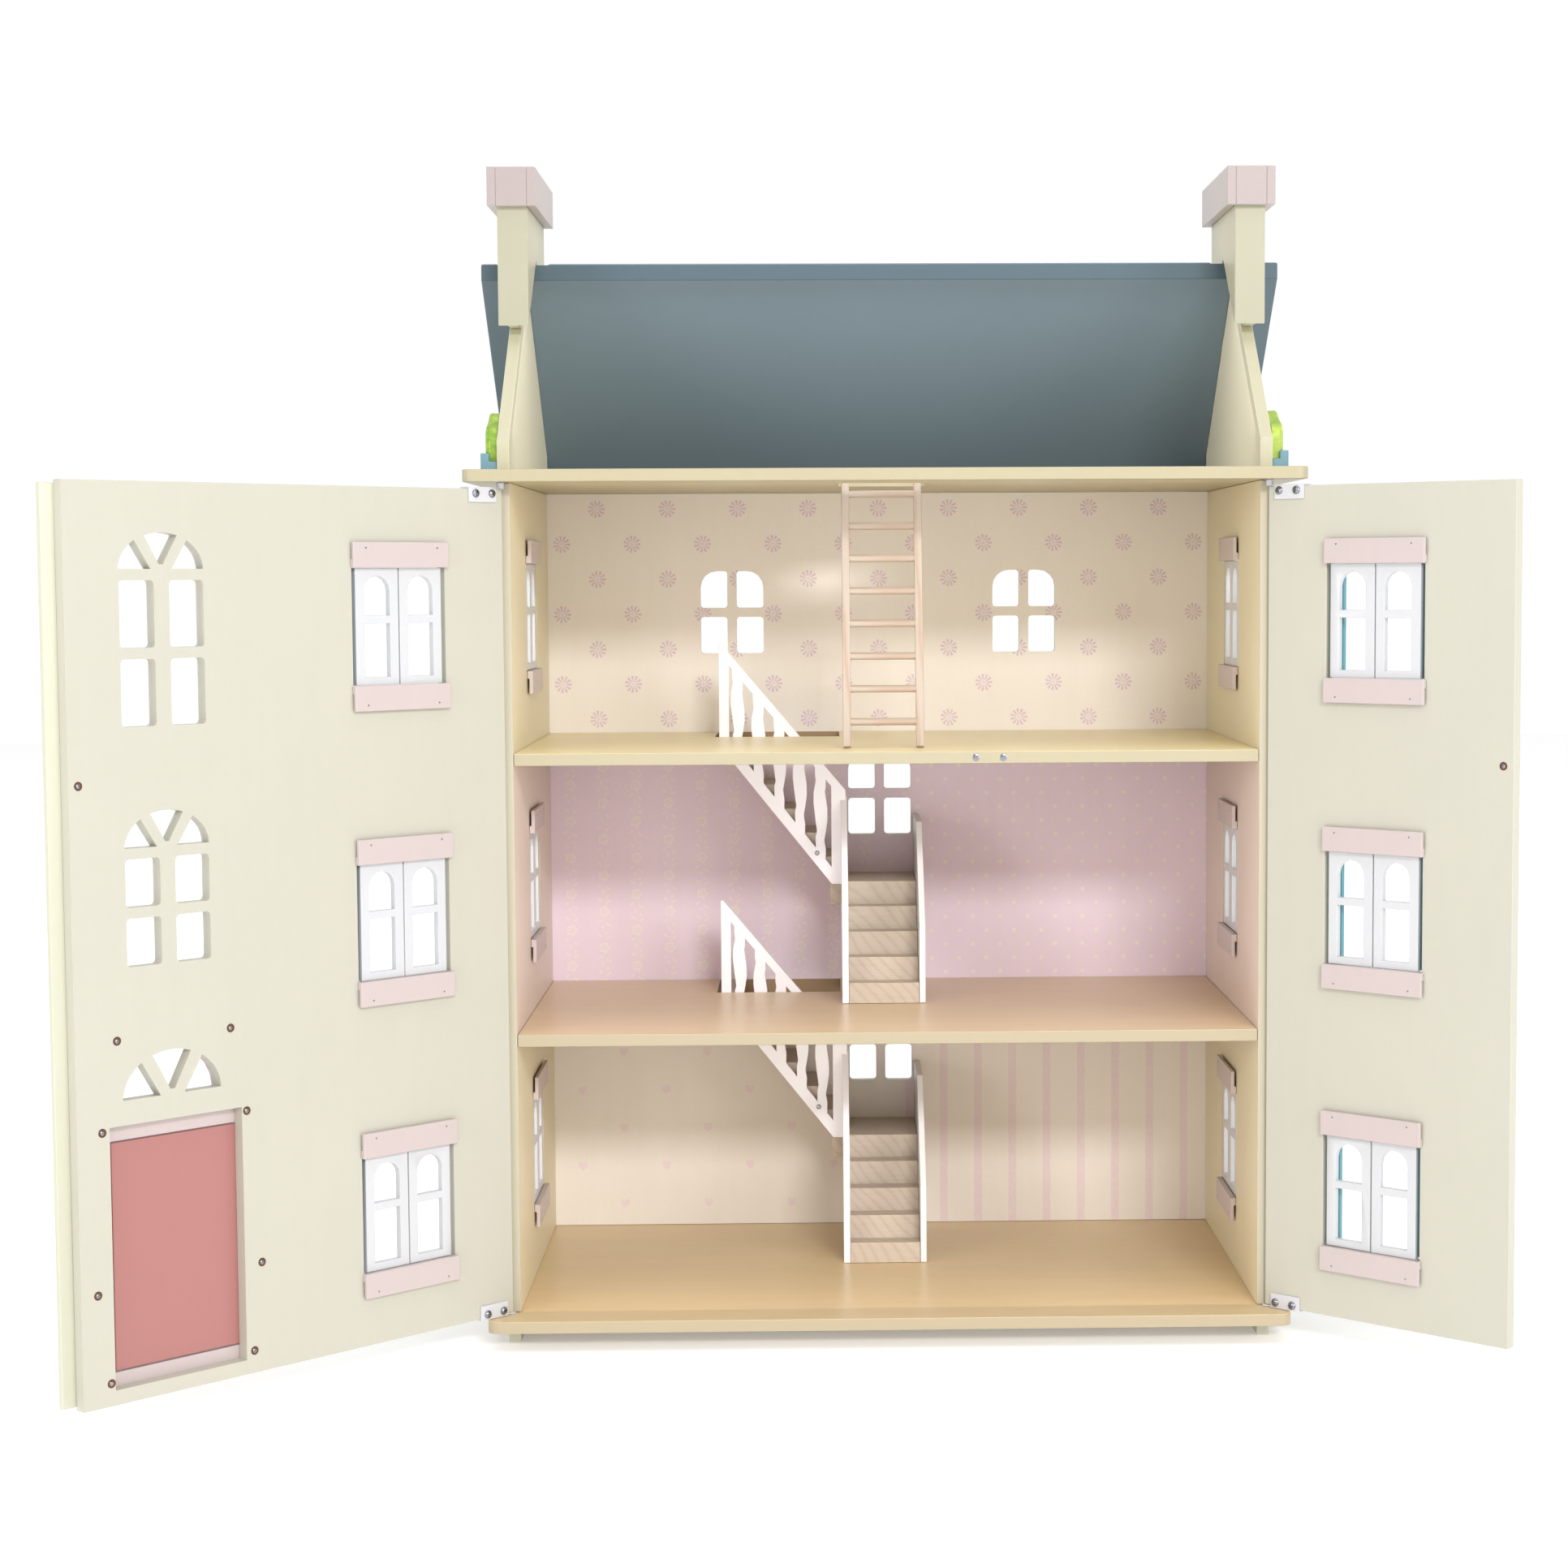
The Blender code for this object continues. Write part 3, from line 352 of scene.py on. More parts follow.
def back_wall_material():
    s = Surface("printed_back_wall")
    u, v = s.x, s.z
    room_middle = v.between(FLOORS[1] - BOARD / 2, FLOORS[2] - BOARD / 2)
    room_ground = v.below(FLOORS[1] - BOARD / 2)
    right = u.above(0.0)
    left = u.below(0.0)
    ink_break = s.noise(240.0, 3.0, 0.7).fn("MULTIPLY", 1.1).fn("ADD", 0.2)

    pitch_u, pitch_v, top_row = 0.0585, 0.0582, 0.6118
    daisy = daisies(u, v, pitch_u, pitch_v, 0.0, top_row, 0.0072)
    daisy = daisy + daisies(u, v, pitch_u, pitch_v, pitch_u / 2, top_row - pitch_v / 2, 0.0072)
    colour = s.mix((daisy * ink_break).make("ADD", 0.0, clamp=True), TOP_PAPER, DAISY_INK)

    pitch_u, period, first_u, first_v = 0.0548, 0.0304, -0.2588, 0.4120
    vines = vine(u, v, pitch_u, period, first_u, first_v)
    vines = vines + vine(u, v, pitch_u, period, first_u + pitch_u / 2, first_v - 0.0148)
    pitch_u, pitch_v, first_u, first_v = 0.0231, 0.0232, 0.0434, 0.3736
    dots = polka_dots(u, v, pitch_u, pitch_v, first_u, first_v)
    dots = dots + polka_dots(u, v, pitch_u, pitch_v, first_u + pitch_u / 2, first_v + pitch_v / 2)
    ink = (vines * left + dots * right) * ink_break * 0.85
    middle = s.mix(ink.make("ADD", 0.0, clamp=True), MIDDLE_PAPER, VINE_INK)
    colour = s.mix(room_middle, colour, middle)

    pitch_u, pitch_v, first_u, first_v, size = 0.0704, 0.0644, -0.2165, 0.0918, 0.0033
    heart = hearts(u, v, pitch_u, pitch_v, first_u, first_v, size)
    heart = heart + hearts(u, v, pitch_u, pitch_v, first_u - pitch_u / 2, first_v - pitch_v / 2, size)
    stripe_pitch, stripe_first, stripe_half = 0.02905, 0.0820, 0.0033
    stripe = u.cell(stripe_pitch, stripe_first).fn("ABSOLUTE").below(stripe_half, 0.0008)
    ink = heart * left * 0.55 + stripe * right * 0.6
    lower = s.mix((ink * ink_break).make("ADD", 0.0, clamp=True), GROUND_PAPER, HEART_INK)
    colour = s.mix(room_ground, colour, lower)

    # painted shade: a dark tan band on the back wall along each floor board and just below it, seen through
    # the stair openings
    strip = 1.6 * BOARD
    shade_behind_floors = v.between(FLOORS[1] - strip, FLOORS[1]) + v.between(FLOORS[2] - strip, FLOORS[2])
    colour = s.mix(shade_behind_floors, colour, FLOOR_SHADE_TAN)

    inside = s.ny.below(-0.5, 0.1)
    colour = s.mix(inside, CREAM, colour)
    return painted(s, colour, cloud=0.06, speck=0.05, rough=0.5)


def side_wall_material():
    """Cream outside; inside, cream rooms with a mauve-tinted middle one."""
    s = Surface("side_wall_paint")
    side = s.x.above(0.0, 0.1)
    inside = side * s.nx.below(-0.5, 0.1) + (side * -1.0 + 1.0) * s.nx.above(0.5, 0.1)
    middle = s.z.between(FLOORS[1] - BOARD / 2, FLOORS[2] - BOARD / 2)
    room = s.mix(middle, ROOM_CREAM, ROOM_MAUVE)
    front = s.ny.below(-0.5, 0.1)
    colour = s.mix(inside, CREAM, room)
    colour = s.mix(front, colour, WALL_EDGE)
    return painted(s, colour, cloud=0.08)


def panel_material(side):
    """Cream board; the window openings' far edges are teal from the shutters' paint, darkened as painted
    shade.
    """
    s = Surface("%s_panel_look" % ("left" if side < 0 else "right"))
    far_edge = -side * (WINDOW_CENTRES[side] + OPENING_WIDTH / 2)
    along = PANEL_FRAME[side].col[0]
    pivot = PANEL_FRAME[side].translation
    place = (s.x - pivot.x) * along.x + (s.y - pivot.y) * along.y
    facing = (s.nx * along.x + s.ny * along.y).fn("ABSOLUTE")
    # painted shade: the far jamb of each window is a dark teal
    shaded_jamb = (place - far_edge).fn("ABSOLUTE").below(0.0004, 0.0002) * facing.above(0.5, 0.2)
    return painted(s, s.mix(shaded_jamb, CREAM, SHADED_JAMB_TEAL))


def wood_print(name, top, edge):
    """Fine straight printed grain on the upper side, painted edges and underside."""
    s = Surface(name)
    fibres = s.noise(60.0, 4.0, 0.7, stretch=(0.35, 14.0, 1.0))
    bands = s.noise(9.0, 3.0, 0.6, stretch=(0.5, 6.0, 1.0))
    pores = s.noise(420.0, 2.0, 0.6, stretch=(0.06, 1.6, 1.0)).above(0.66, 0.08)
    factor = (fibres - 0.5) * 0.16 + (bands - 0.5) * 0.12 + pores * -0.10 + 1.0
    upper = s.shade(top, factor)
    up = s.nz.above(0.5, 0.1)
    colour = s.mix(up, edge, upper)
    height = fibres * 0.5 + pores * -0.6
    roughness = fibres * 0.10 + 0.28
    return s.finish(colour, height, 0.00008, 0.25, roughness)


def bare_wood(name, colour, along, dark, rings, tilt, contrast=0.45, wander=0.02):
    """Planed softwood or beech: grain lines along one axis, pores and slow tone changes."""
    s = Surface(name)
    axes = [s.x, s.y, s.z]
    long_axis = axes.pop(along)
    warp = s.noise(7.0, 2.0, 0.5)
    across = axes[0] + axes[1] * 0.6 + long_axis * tilt + warp * wander
    lines = (across * (rings * 2 * math.pi)).fn("SINE") * 0.5 + 0.5
    lines = lines ** 3.0
    stretch = [1.0, 1.0, 1.0]
    stretch[along] = 0.06
    fibres = s.noise(520.0, 3.0, 0.6, stretch=tuple(stretch))
    slow = s.noise(18.0, 2.0, 0.5)
    tone = s.mix((lines * contrast + (fibres - 0.5) * 0.5).make("ADD", 0.0, clamp=True), colour, dark)
    factor = (slow - 0.5) * 0.14 + 1.0
    height = lines * 0.5 + fibres
    return s.finish(s.shade(tone, factor), height, 0.00015, 0.35, fibres * 0.15 + 0.48)


def metal(name, colour, roughness, metallic=1.0):
    s = Surface(name, roughness, Metallic=metallic)
    scratches = s.noise(900.0, 2.0, 0.6)
    return s.finish(s.shade(colour, (scratches - 0.5) * 0.12 + 1.0), scratches, 0.00003, 0.2,
                    scratches * 0.12 + (roughness - 0.06))


def roof_panel_material():
    """Slate board, deeper on the ridge cut; the strips that overhang the gables are darkened as painted
    shade.
    """
    s = Surface("ridge_look")
    # painted shade: the strips outside the gables are a darker slate
    strip = s.x.fn("ABSOLUTE").above(WALL_OUT, 0.004)
    colour = s.mix(s.ny.below(-0.7, 0.2), s.mix(strip, SLATE, OVERHANG_SHADE_SLATE), RIDGE_SLATE)
    return painted(s, colour, cloud=0.04, speck=0.05, rough=0.5)


def front_shaded_paint(name, colour, front_shade):
    """Paint made a little darker on the faces turned to the front, as painted shade."""
    s = Surface(name)
    return painted(s, s.mix(s.ny.below(-0.7, 0.2), colour, front_shade))


def edged_board(name, colour, edge_colour):
    """A board standing in the YZ plane, its broad faces and its edges in two tones: the gables' faces are
    lightened as painted light, the stringers' faces greyed as painted shade.
    """
    s = Surface(name)
    return painted(s, s.mix(s.nx.fn("ABSOLUTE").below(0.6, 0.2), colour, edge_colour))


MAT = {
    "cream": plain_paint("cream_paint_look", CREAM),
    "cream_edge": plain_paint("cream_edge_look", CREAM_EDGE),
    "gable": edged_board("gable_look", GABLE_PAINTED_LIGHT_CREAM, GABLE_EDGE),
    "stack": front_shaded_paint("stack_look", STACK_CREAM, STACK_FRONT_SHADE),
    "cap": front_shaded_paint("cap_look", CAP_PINK, CAP_FRONT_SHADE),
    "rail": plain_paint("rail_look", RAIL_WHITE, cloud=0.03, speck=0.025, rough=0.36),
    "stringer": edged_board("stringer_look", STRINGER_SHADE_GREY, STRINGER_EDGE),
    "deck": plain_paint("deck_look", DECK),
    "slate": plain_paint("slate_look", SLATE, cloud=0.04, speck=0.05, rough=0.5),
    "roof_panel": roof_panel_material(),
    "pale_pink": plain_paint("pale_pink_look", PALE_PINK),
    "dusty_pink": plain_paint("dusty_pink_look", DUSTY_PINK, rough=0.38),
    "white": plain_paint("white_look", WHITE, cloud=0.03, speck=0.025, rough=0.36),
    "teal": plain_paint("teal_look", TEAL),
    "trough": plain_paint("trough_look", TROUGH_BLUE),
    "back_wall": back_wall_material(),
    "left_panel": panel_material(-1),
    "right_panel": panel_material(1),
    "side_wall": side_wall_material(),
    "floor_upper": wood_print("upper_floor_look", STRAW, STRAW_EDGE),
    "floor_middle": wood_print("middle_floor_look", MIDDLE_TAN, MIDDLE_EDGE),
    "base": wood_print("base_look", TAN, TAN_EDGE),
    "pine": bare_wood("pine_look", PINE, 0, PINE_GRAIN, 110.0, 0.9, 0.30, 0.09),
    "beech": bare_wood("beech_look", BEECH, 2, BEECH_GRAIN, 120.0, 0.05),
    "beech_rung": bare_wood("beech_rung_look", BEECH, 0, RUNG_GRAIN, 160.0, 0.05),
    "enamel": metal("hinge_enamel_look", ENAMEL, 0.30, 0.0),
    "steel": metal("screw_steel_look", STEEL, 0.24),
    "dark": plain_paint("shadow_hole_look", HOLE_WOOD_AND_SHADE, rough=0.8),
}


def leaf_material():
    s = Surface("hedge_look")
    tufts = s.noise(160.0, 3.0, 0.6)
    tone = s.mix(tufts.above(0.52, 0.22), LEAF_DARK, LEAF_GREEN)
    tone = s.mix(s.noise(26.0, 2.0).above(0.6, 0.2) * 0.5, tone, LEAF_TIP)
    return s.finish(tone, tufts, 0.0003, 0.4, tufts * 0.1 + 0.4)


MAT["hedge"] = leaf_material()


# ---------------------------------------------------------------- geometry
def rectangle(u0, u1, v0, v1):
    return [(u0, v0), (u1, v0), (u1, v1), (u0, v1)]


def arc(centre, radius_u, radius_v, start, end, steps):
    points = []
    for i in range(steps + 1):
        angle = math.radians(start + (end - start) * i / steps)
        points.append((centre[0] + radius_u * math.cos(angle), centre[1] + radius_v * math.sin(angle)))
    return points


PLANES = {"xz": lambda u, v, d: (u, d, v), "yz": lambda u, v, d: (d, u, v), "xy": lambda u, v, d: (u, v, d)}


def prism(name, plane, outline, low, high, material, holes=(), bevel=0.0005, segments=2):
    """A board cut to a flat outline, with its edges eased by a bevel."""
    loops = [outline] + list(holes)
    place = PLANES[plane]
    bm = bmesh.new()
    layers = []
    for depth in (low, high):
        layers.append([[bm.verts.new(place(u, v, depth)) for u, v in loop] for loop in loops])
    flat = [[vert for loop in layer for vert in loop] for layer in layers]
    for triangle in tessellate_polygon([[Vector((u, v, 0)) for u, v in loop] for loop in loops]):
        for layer in flat:
            bm.faces.new([layer[i] for i in triangle])
    for near, far in zip(*layers):
        for i in range(len(near)):
            j = (i + 1) % len(near)
            bm.faces.new((near[i], near[j], far[j], far[i]))
    bmesh.ops.recalc_face_normals(bm, faces=bm.faces)
    bmesh.ops.dissolve_limit(bm, angle_limit=0.01, verts=bm.verts, edges=bm.edges)
    return from_bmesh(name, bm, material, bevel, segments)


def from_bmesh(name, bm, material, bevel=0.0, segments=2):
    mesh = bpy.data.meshes.new(name)
    bm.to_mesh(mesh)
    bm.free()
    if material:
        mesh.materials.append(MAT[material])
    obj = bpy.data.objects.new(name, mesh)
    bpy.context.scene.collection.objects.link(obj)
    if bevel:
        add_bevel(obj, bevel, segments)
    return obj


def add_bevel(obj, width, segments=2):
    mod = obj.modifiers.new("eased_edges", "BEVEL")
    mod.width = width
    mod.segments = segments
    mod.limit_method = "ANGLE"
    mod.angle_limit = math.radians(35)
    mod.harden_normals = True


def lathe(name, profile, material, steps=32, axis="Z"):
    """A turned solid from (radius, height) points; the ends are closed."""
    bm = bmesh.new()
    rings = []
    for radius, height in profile:
        ring = []
        for i in range(steps):
            angle = 2 * math.pi * i / steps
            point = (radius * math.cos(angle), radius * math.sin(angle), height)
            if axis == "X":
                point = (point[2], point[0], point[1])
            elif axis == "Y":
                point = (point[0], point[2], point[1])
            ring.append(bm.verts.new(point))
        rings.append(ring)
    for near, far in zip(rings, rings[1:]):
        for i in range(steps):
            j = (i + 1) % steps
            bm.faces.new((near[i], near[j], far[j], far[i]))
    bm.faces.new(rings[0])
    bm.faces.new(rings[-1])
    bmesh.ops.recalc_face_normals(bm, faces=bm.faces)
    obj = from_bmesh(name, bm, material)
    obj.data.shade_smooth()
    obj.data.set_sharp_from_angle(angle=math.radians(40))
    return obj


def put(obj, body, matrix=None, replaces=()):
    """Place a piece and make it ride on its body."""
    if matrix is not None:
        obj.matrix_world = matrix @ obj.matrix_world
    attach(obj, body)
    if replaces:
        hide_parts(*replaces)
    return obj


# ---------------------------------------------------------------- CAD nodes: finish and eased edges
def dress(node, material, bevel=0.0006):
    obj = NODES[node]
    obj.data.materials.clear()
    obj.data.materials.append(MAT[material])
    weld = obj.modifiers.new("weld", "WELD")
    weld.merge_threshold = 0.00002
    flat = obj.modifiers.new("flat", "DECIMATE")
    flat.decimate_type = "DISSOLVE"
    flat.angle_limit = math.radians(0.6)
    if bevel:
        add_bevel(obj, bevel)


LOOKS = {
    "base_board": "base", "left_foot_runner": "cream_edge", "right_foot_runner": "cream_edge",
    "left_side_wall": "side_wall", "right_side_wall": "side_wall", "back_wall": "back_wall",
    "middle_floor_board": "floor_middle", "upper_floor_board": "floor_upper", "top_board": "deck",
    "left_gable": "gable", "right_gable": "gable", "left_chimney_stack": "stack",
    "right_chimney_stack": "stack", "rear_roof_panel": "roof_panel", "front_roof_flap": "slate",
    "left_front_panel": "left_panel", "right_front_panel": "right_panel", "astragal_strip": "cream_edge",
    "porch_surround": "pale_pink", "front_door": "dusty_pink",
    "lower_stair_steps": "pine", "upper_stair_steps": "pine",
    "lower_stair_right_stringer": "stringer", "upper_stair_right_stringer": "stringer",
    "lower_stair_balustrade": "rail", "upper_stair_balustrade": "rail",
}
for node_name, look in LOOKS.items():
    dress(node_name, look)
for node_name in NODES:
    if "_casement_" in node_name:
        dress(node_name, "white", 0.0004)
    elif node_name.endswith("_hinge"):
        dress(node_name, "enamel", 0.0002)


# ---------------------------------------------------------------- screws
def screw_mesh(radius, height, name):
    """Pan head with a cross recess, its axis along +Y and its underside at the origin."""
    steps = [(radius, 0.0), (radius * 0.98, height * 0.35), (radius * 0.80, height * 0.78),
             (radius * 0.45, height), (0.0001, height)]
    head = lathe(name, steps, "steel", 28, "Y")
    bm = bmesh.new()
    arm, half = radius * 0.58, radius * 0.13
    for u, v in ((arm, half), (half, arm)):
        corners = rectangle(-u, u, -v, v)
        low = [bm.verts.new((x, height * 0.35, z)) for x, z in corners]
        high = [bm.verts.new((x, height * 1.2, z)) for x, z in corners]
        bm.faces.new(low)
        bm.faces.new(high)
        for i in range(4):
            j = (i + 1) % 4
            bm.faces.new((low[i], low[j], high[j], high[i]))
    bmesh.ops.recalc_face_normals(bm, faces=bm.faces)
    cutter = from_bmesh(name + "_cross", bm, None)
    mod = head.modifiers.new("cross", "BOOLEAN")
    mod.operation = "DIFFERENCE"
    mod.solver = "EXACT"
    mod.use_self = True
    mod.object = cutter
    graph = bpy.context.evaluated_depsgraph_get()
    mesh = bpy.data.meshes.new_from_object(head.evaluated_get(graph))
    bpy.data.objects.remove(head)
    bpy.data.objects.remove(cutter)
    return mesh


PAN_HEAD = screw_mesh(0.0031, 0.0018, "pan_head")
SMALL_HEAD = screw_mesh(0.0020, 0.0007, "small_head")
SUNK_HEAD = screw_mesh(0.0016, 0.0005, "sunk_head")
CATCH_HEAD = screw_mesh(0.0028, 0.0005, "catch_head")


def screw(name, mesh, body, matrix, x, y, z, direction=1, turn=0.0):
    """A screw head on a face; direction 1 faces +Y of the given frame, -1 faces -Y."""
    obj = bpy.data.objects.new(name, mesh)
    bpy.context.scene.collection.objects.link(obj)
    spin = Matrix.Rotation(turn, 4, "Y")
    flip = Matrix.Rotation(0.0 if direction > 0 else math.pi, 4, "Z")
    obj.matrix_world = Matrix.Translation((x, y, z)) @ flip @ spin
    put(obj, body, matrix)


def sunk_screw(name, body, matrix, x, y, z, turn=0.4):
    """A small screw on a thin dark disc that stands for its drilled hole: bare wood darkened as painted
    shade.
    """
    rim = lathe(name + "_rim", [(0.0030, 0.0), (0.0030, 0.00015), (0.0001, 0.00016)], "dark", 24, "Y")
    rim.matrix_world = Matrix.Translation((x, y, z))
    put(rim, body, matrix)
    screw(name, SUNK_HEAD, body, matrix, x, y + 0.0001, z, turn=turn)


# ---------------------------------------------------------------- window trims
TRIM_LENGTH = 0.083
TRIM_HEIGHT = 0.018
TRIM_DEPTH = 0.0044
TRIM_GAP = 0.0016
TRIM_FOOT = 0.006
TRIM_LAP = 0.0008               # how far a lintel or sill reaches over the opening
NAIL_FROM_END = 0.0105
NAIL_FROM_EDGE = 0.0042


def trim(name, upward):
    """A lintel or sill board; its root strip touches the wall and the rest stands a little off it."""
    sign = 1 if upward else -1
    section = [(0.0002, 0), (TRIM_DEPTH, 0), (TRIM_DEPTH, sign * TRIM_HEIGHT), (TRIM_GAP, sign * TRIM_HEIGHT),
               (TRIM_GAP, sign * TRIM_FOOT), (0.0002, sign * TRIM_FOOT)]
    return prism(name, "yz", section, -TRIM_LENGTH / 2, TRIM_LENGTH / 2, "pale_pink", bevel=0.0006)


def nail(name, body, matrix, x, z):
    obj = lathe(name, [(0.0007, 0.0), (0.0007, 0.00012), (0.0001, 0.0002)], "steel", 12, "Y")
    obj.matrix_world = Matrix.Translation((x, TRIM_DEPTH - 0.00005, z))
    put(obj, body, matrix)


def window_trims(prefix, body, matrix, opening_low):
    """Lintel and sill on a wall's inner face; matrix has X along the wall and +Y into the room."""
    lintel_z = opening_low + OPENING_HEIGHT - TRIM_LAP
    sill_z = opening_low + TRIM_LAP
    for tag, upward, z in (("lintel", True, lintel_z), ("sill", False, sill_z)):
        piece = trim("%s_%s" % (prefix, tag), upward)
        piece.matrix_world = Matrix.Translation((0, 0, z))
        put(piece, body, matrix)
        nail_z = z + (1 if upward else -1) * (TRIM_HEIGHT - NAIL_FROM_EDGE)
        for side in (-1, 1):
            nail_x = side * (TRIM_LENGTH / 2 - NAIL_FROM_END)
            nail("%s_%s_nail_%d" % (prefix, tag, side > 0), body, matrix, nail_x, nail_z)


SHUTTER_WIDTH = 0.0340
SHUTTER_LAP = 0.0062            # how far a shutter reaches over the opening's edge
PANEL_SHUTTER_LAPS = {-1: (SHUTTER_LAP, 0.0030), 1: (0.0088, SHUTTER_LAP)}


def shutter(name, height):
    """A louvred shutter board, flat against a wall; +Y is its outer side."""
    half = SHUTTER_WIDTH / 2
    thickness = 0.0040
    border = 0.0052
    slat = 0.0062
    slat_edge = 0.0012
    holes = []
    count = int((height - 2 * border) // slat)
    step = (height - 2 * border) / count
    for i in range(count):
        low = border + step * i
        holes.append(rectangle(border - half, half - border, low + slat_edge, low + step - slat_edge))
    outline = rectangle(-half, half, 0, height)
    frame_piece = prism(name, "xz", outline, 0.0003, thickness, "teal", holes, 0.0004)
    inset = border * 0.8
    sheet = rectangle(inset - half, half - inset, inset, height - inset)
    slats = prism(name + "_back", "xz", sheet, 0.0006, thickness * 0.55, "teal", bevel=0)
    return frame_piece, slats


def shutters(prefix, body, matrix, opening_low, overlaps=(SHUTTER_LAP, SHUTTER_LAP)):
    """A pair of shutters fixed open; matrix has X along the wall and +Y outwards."""
    margin = 0.001
    for side, overlap in zip((-1, 1), overlaps):
        x = side * (OPENING_WIDTH / 2 - overlap + SHUTTER_WIDTH / 2)
        name = "%s_shutter_%s" % (prefix, "a" if side < 0 else "b")
        for piece in shutter(name, OPENING_HEIGHT - 2 * margin):
            piece.matrix_world = Matrix.Translation((x, 0, opening_low + margin))
            put(piece, body, matrix)


LEVELS = ("ground", "middle", "upper")
STOREY = FLOORS[1] - FLOORS[0]
for side in (-1, 1):
    tag = "left" if side < 0 else "right"
    centre = -side * WINDOW_CENTRES[side]
    inner = PANEL_FRAME[side] @ Matrix.Translation((centre - side * TRIM_SHIFT[side], PANEL_INNER, 0))
    outer = PANEL_FRAME[side] @ Matrix.Translation((centre, PANEL_OUTER, 0)) @ HALF_TURN
    for i, level in enumerate(LEVELS):
        low = BASE_TOP + PANEL_SILL + STOREY * i
        window_trims("%s_panel_%s" % (tag, level), PANEL_BODY[side], inner, low)
        shutters("%s_panel_%s" % (tag, level), PANEL_BODY[side], outer, low, PANEL_SHUTTER_LAPS[side])
    turn = Matrix.Rotation(side * math.pi / 2, 4, "Z")
    inner = Matrix.Translation((side * WALL_IN, 0, 0)) @ turn
    outer = Matrix.Translation((side * WALL_OUT, 0, 0)) @ turn @ HALF_TURN
    for level, floor in zip(LEVELS, FLOORS):
        window_trims("%s_wall_%s" % (tag, level), "carcass", inner, floor + WALL_SILL)
        shutters("%s_wall_%s" % (tag, level), "carcass", outer, floor + WALL_SILL)


# ---------------------------------------------------------------- panel fittings
HINGE_SCREW_REACH = (0.0100, 0.0248)     # from the pivot, along the panel
HINGE_SCREW_Z = {"top": PANEL_TOP - 0.0033, "bottom": BASE_TOP + 0.0045}
HINGE_PLATE = 0.0014
LEFT_SCREWS = ((0.3514, 0.4128), (0.3275, 0.2437), (0.2402, 0.2424), (0.3400, 0.1843), (0.2287, 0.1841),
               (0.3460, 0.0771), (0.2189, 0.0775), (0.3376, 0.0168), (0.2263, 0.0171))
RIGHT_SCREW = (-0.1945, 0.4123)
CATCH_X = (0.0655, 0.0858)
CATCH_DROP = 0.0047                      # below the upper floor's surface


def panel_screws():
    for side, body in PANEL_BODY.items():
        tag = "left" if side < 0 else "right"
        matrix = PANEL_FRAME[side]
        for end, z in HINGE_SCREW_Z.items():
            for k, reach in enumerate(HINGE_SCREW_REACH):
                screw("%s_%s_hinge_screw_%d" % (tag, end, k), PAN_HEAD, body, matrix, -side * reach,
                      PANEL_INNER + HINGE_PLATE, z, turn=0.5 + k * 0.9)
    for k, (s, z) in enumerate(LEFT_SCREWS):
        sunk_screw("left_panel_screw_%d" % k, "left_front", PANEL_FRAME[-1], s, PANEL_INNER, BASE_TOP + z,
                   turn=0.3 + k)
    s, z = RIGHT_SCREW
    sunk_screw("right_panel_screw", "right_front", PANEL_FRAME[1], s, PANEL_INNER, BASE_TOP + z)


panel_screws()
for k, x in enumerate(CATCH_X):
    screw("catch_screw_%d" % k, CATCH_HEAD, "carcass", Matrix.Identity(4), x, FRONT_Y, FLOORS[2] - CATCH_DROP,
          -1, 0.4 + k)


# ---------------------------------------------------------------- front door, outer side
DOOR_PANELS = ((0.026, 0.060, 0.034, 0.054), (0.0675, 0.060, 0.034, 0.054),
               (0.026, 0.130, 0.034, 0.062), (0.0675, 0.130, 0.034, 0.062))    # centre and size
DOOR_PIN_DEPTH = 0.0012
MOULDING = 0.0032
KNOB = (-0.0870, 0.095)
KNOB_PROFILE = [(0.0030, -0.0003), (0.0030, 0.0006), (0.0012, 0.0009), (0.0012, 0.0030), (0.0028, 0.0040),
                (0.0033, 0.0056), (0.0024, 0.0071), (0.0001, 0.0075)]


def door_details():
    """Four raised frames and a knob on the door's outer side."""
    body = "door"
    joint = JOINTS["front_door_hinge"]
    local = PANEL_FRAME[-1].inverted() @ Vector(joint["pos_m"])
    corner = Matrix.Translation((local.x, local.y - DOOR_PIN_DEPTH, BASE_TOP))
    matrix = PANEL_FRAME[-1] @ corner @ HALF_TURN
    for k, (u, z, w, h) in enumerate(DOOR_PANELS):
        outline = rectangle(-u - w / 2, -u + w / 2, z - h / 2, z + h / 2)
        w, h = w - 2 * MOULDING, h - 2 * MOULDING
        hole = rectangle(-u - w / 2, -u + w / 2, z - h / 2, z + h / 2)
        piece = prism("door_moulding_%d" % k, "xz", outline, -0.0004, 0.0012, "dusty_pink", [hole], 0.0005)
        put(piece, body, matrix)
    knob = lathe("door_knob", KNOB_PROFILE, "steel", 24, "Y")
    knob.matrix_world = Matrix.Translation((KNOB[0], 0, KNOB[1]))
    put(knob, body, matrix)


door_details()


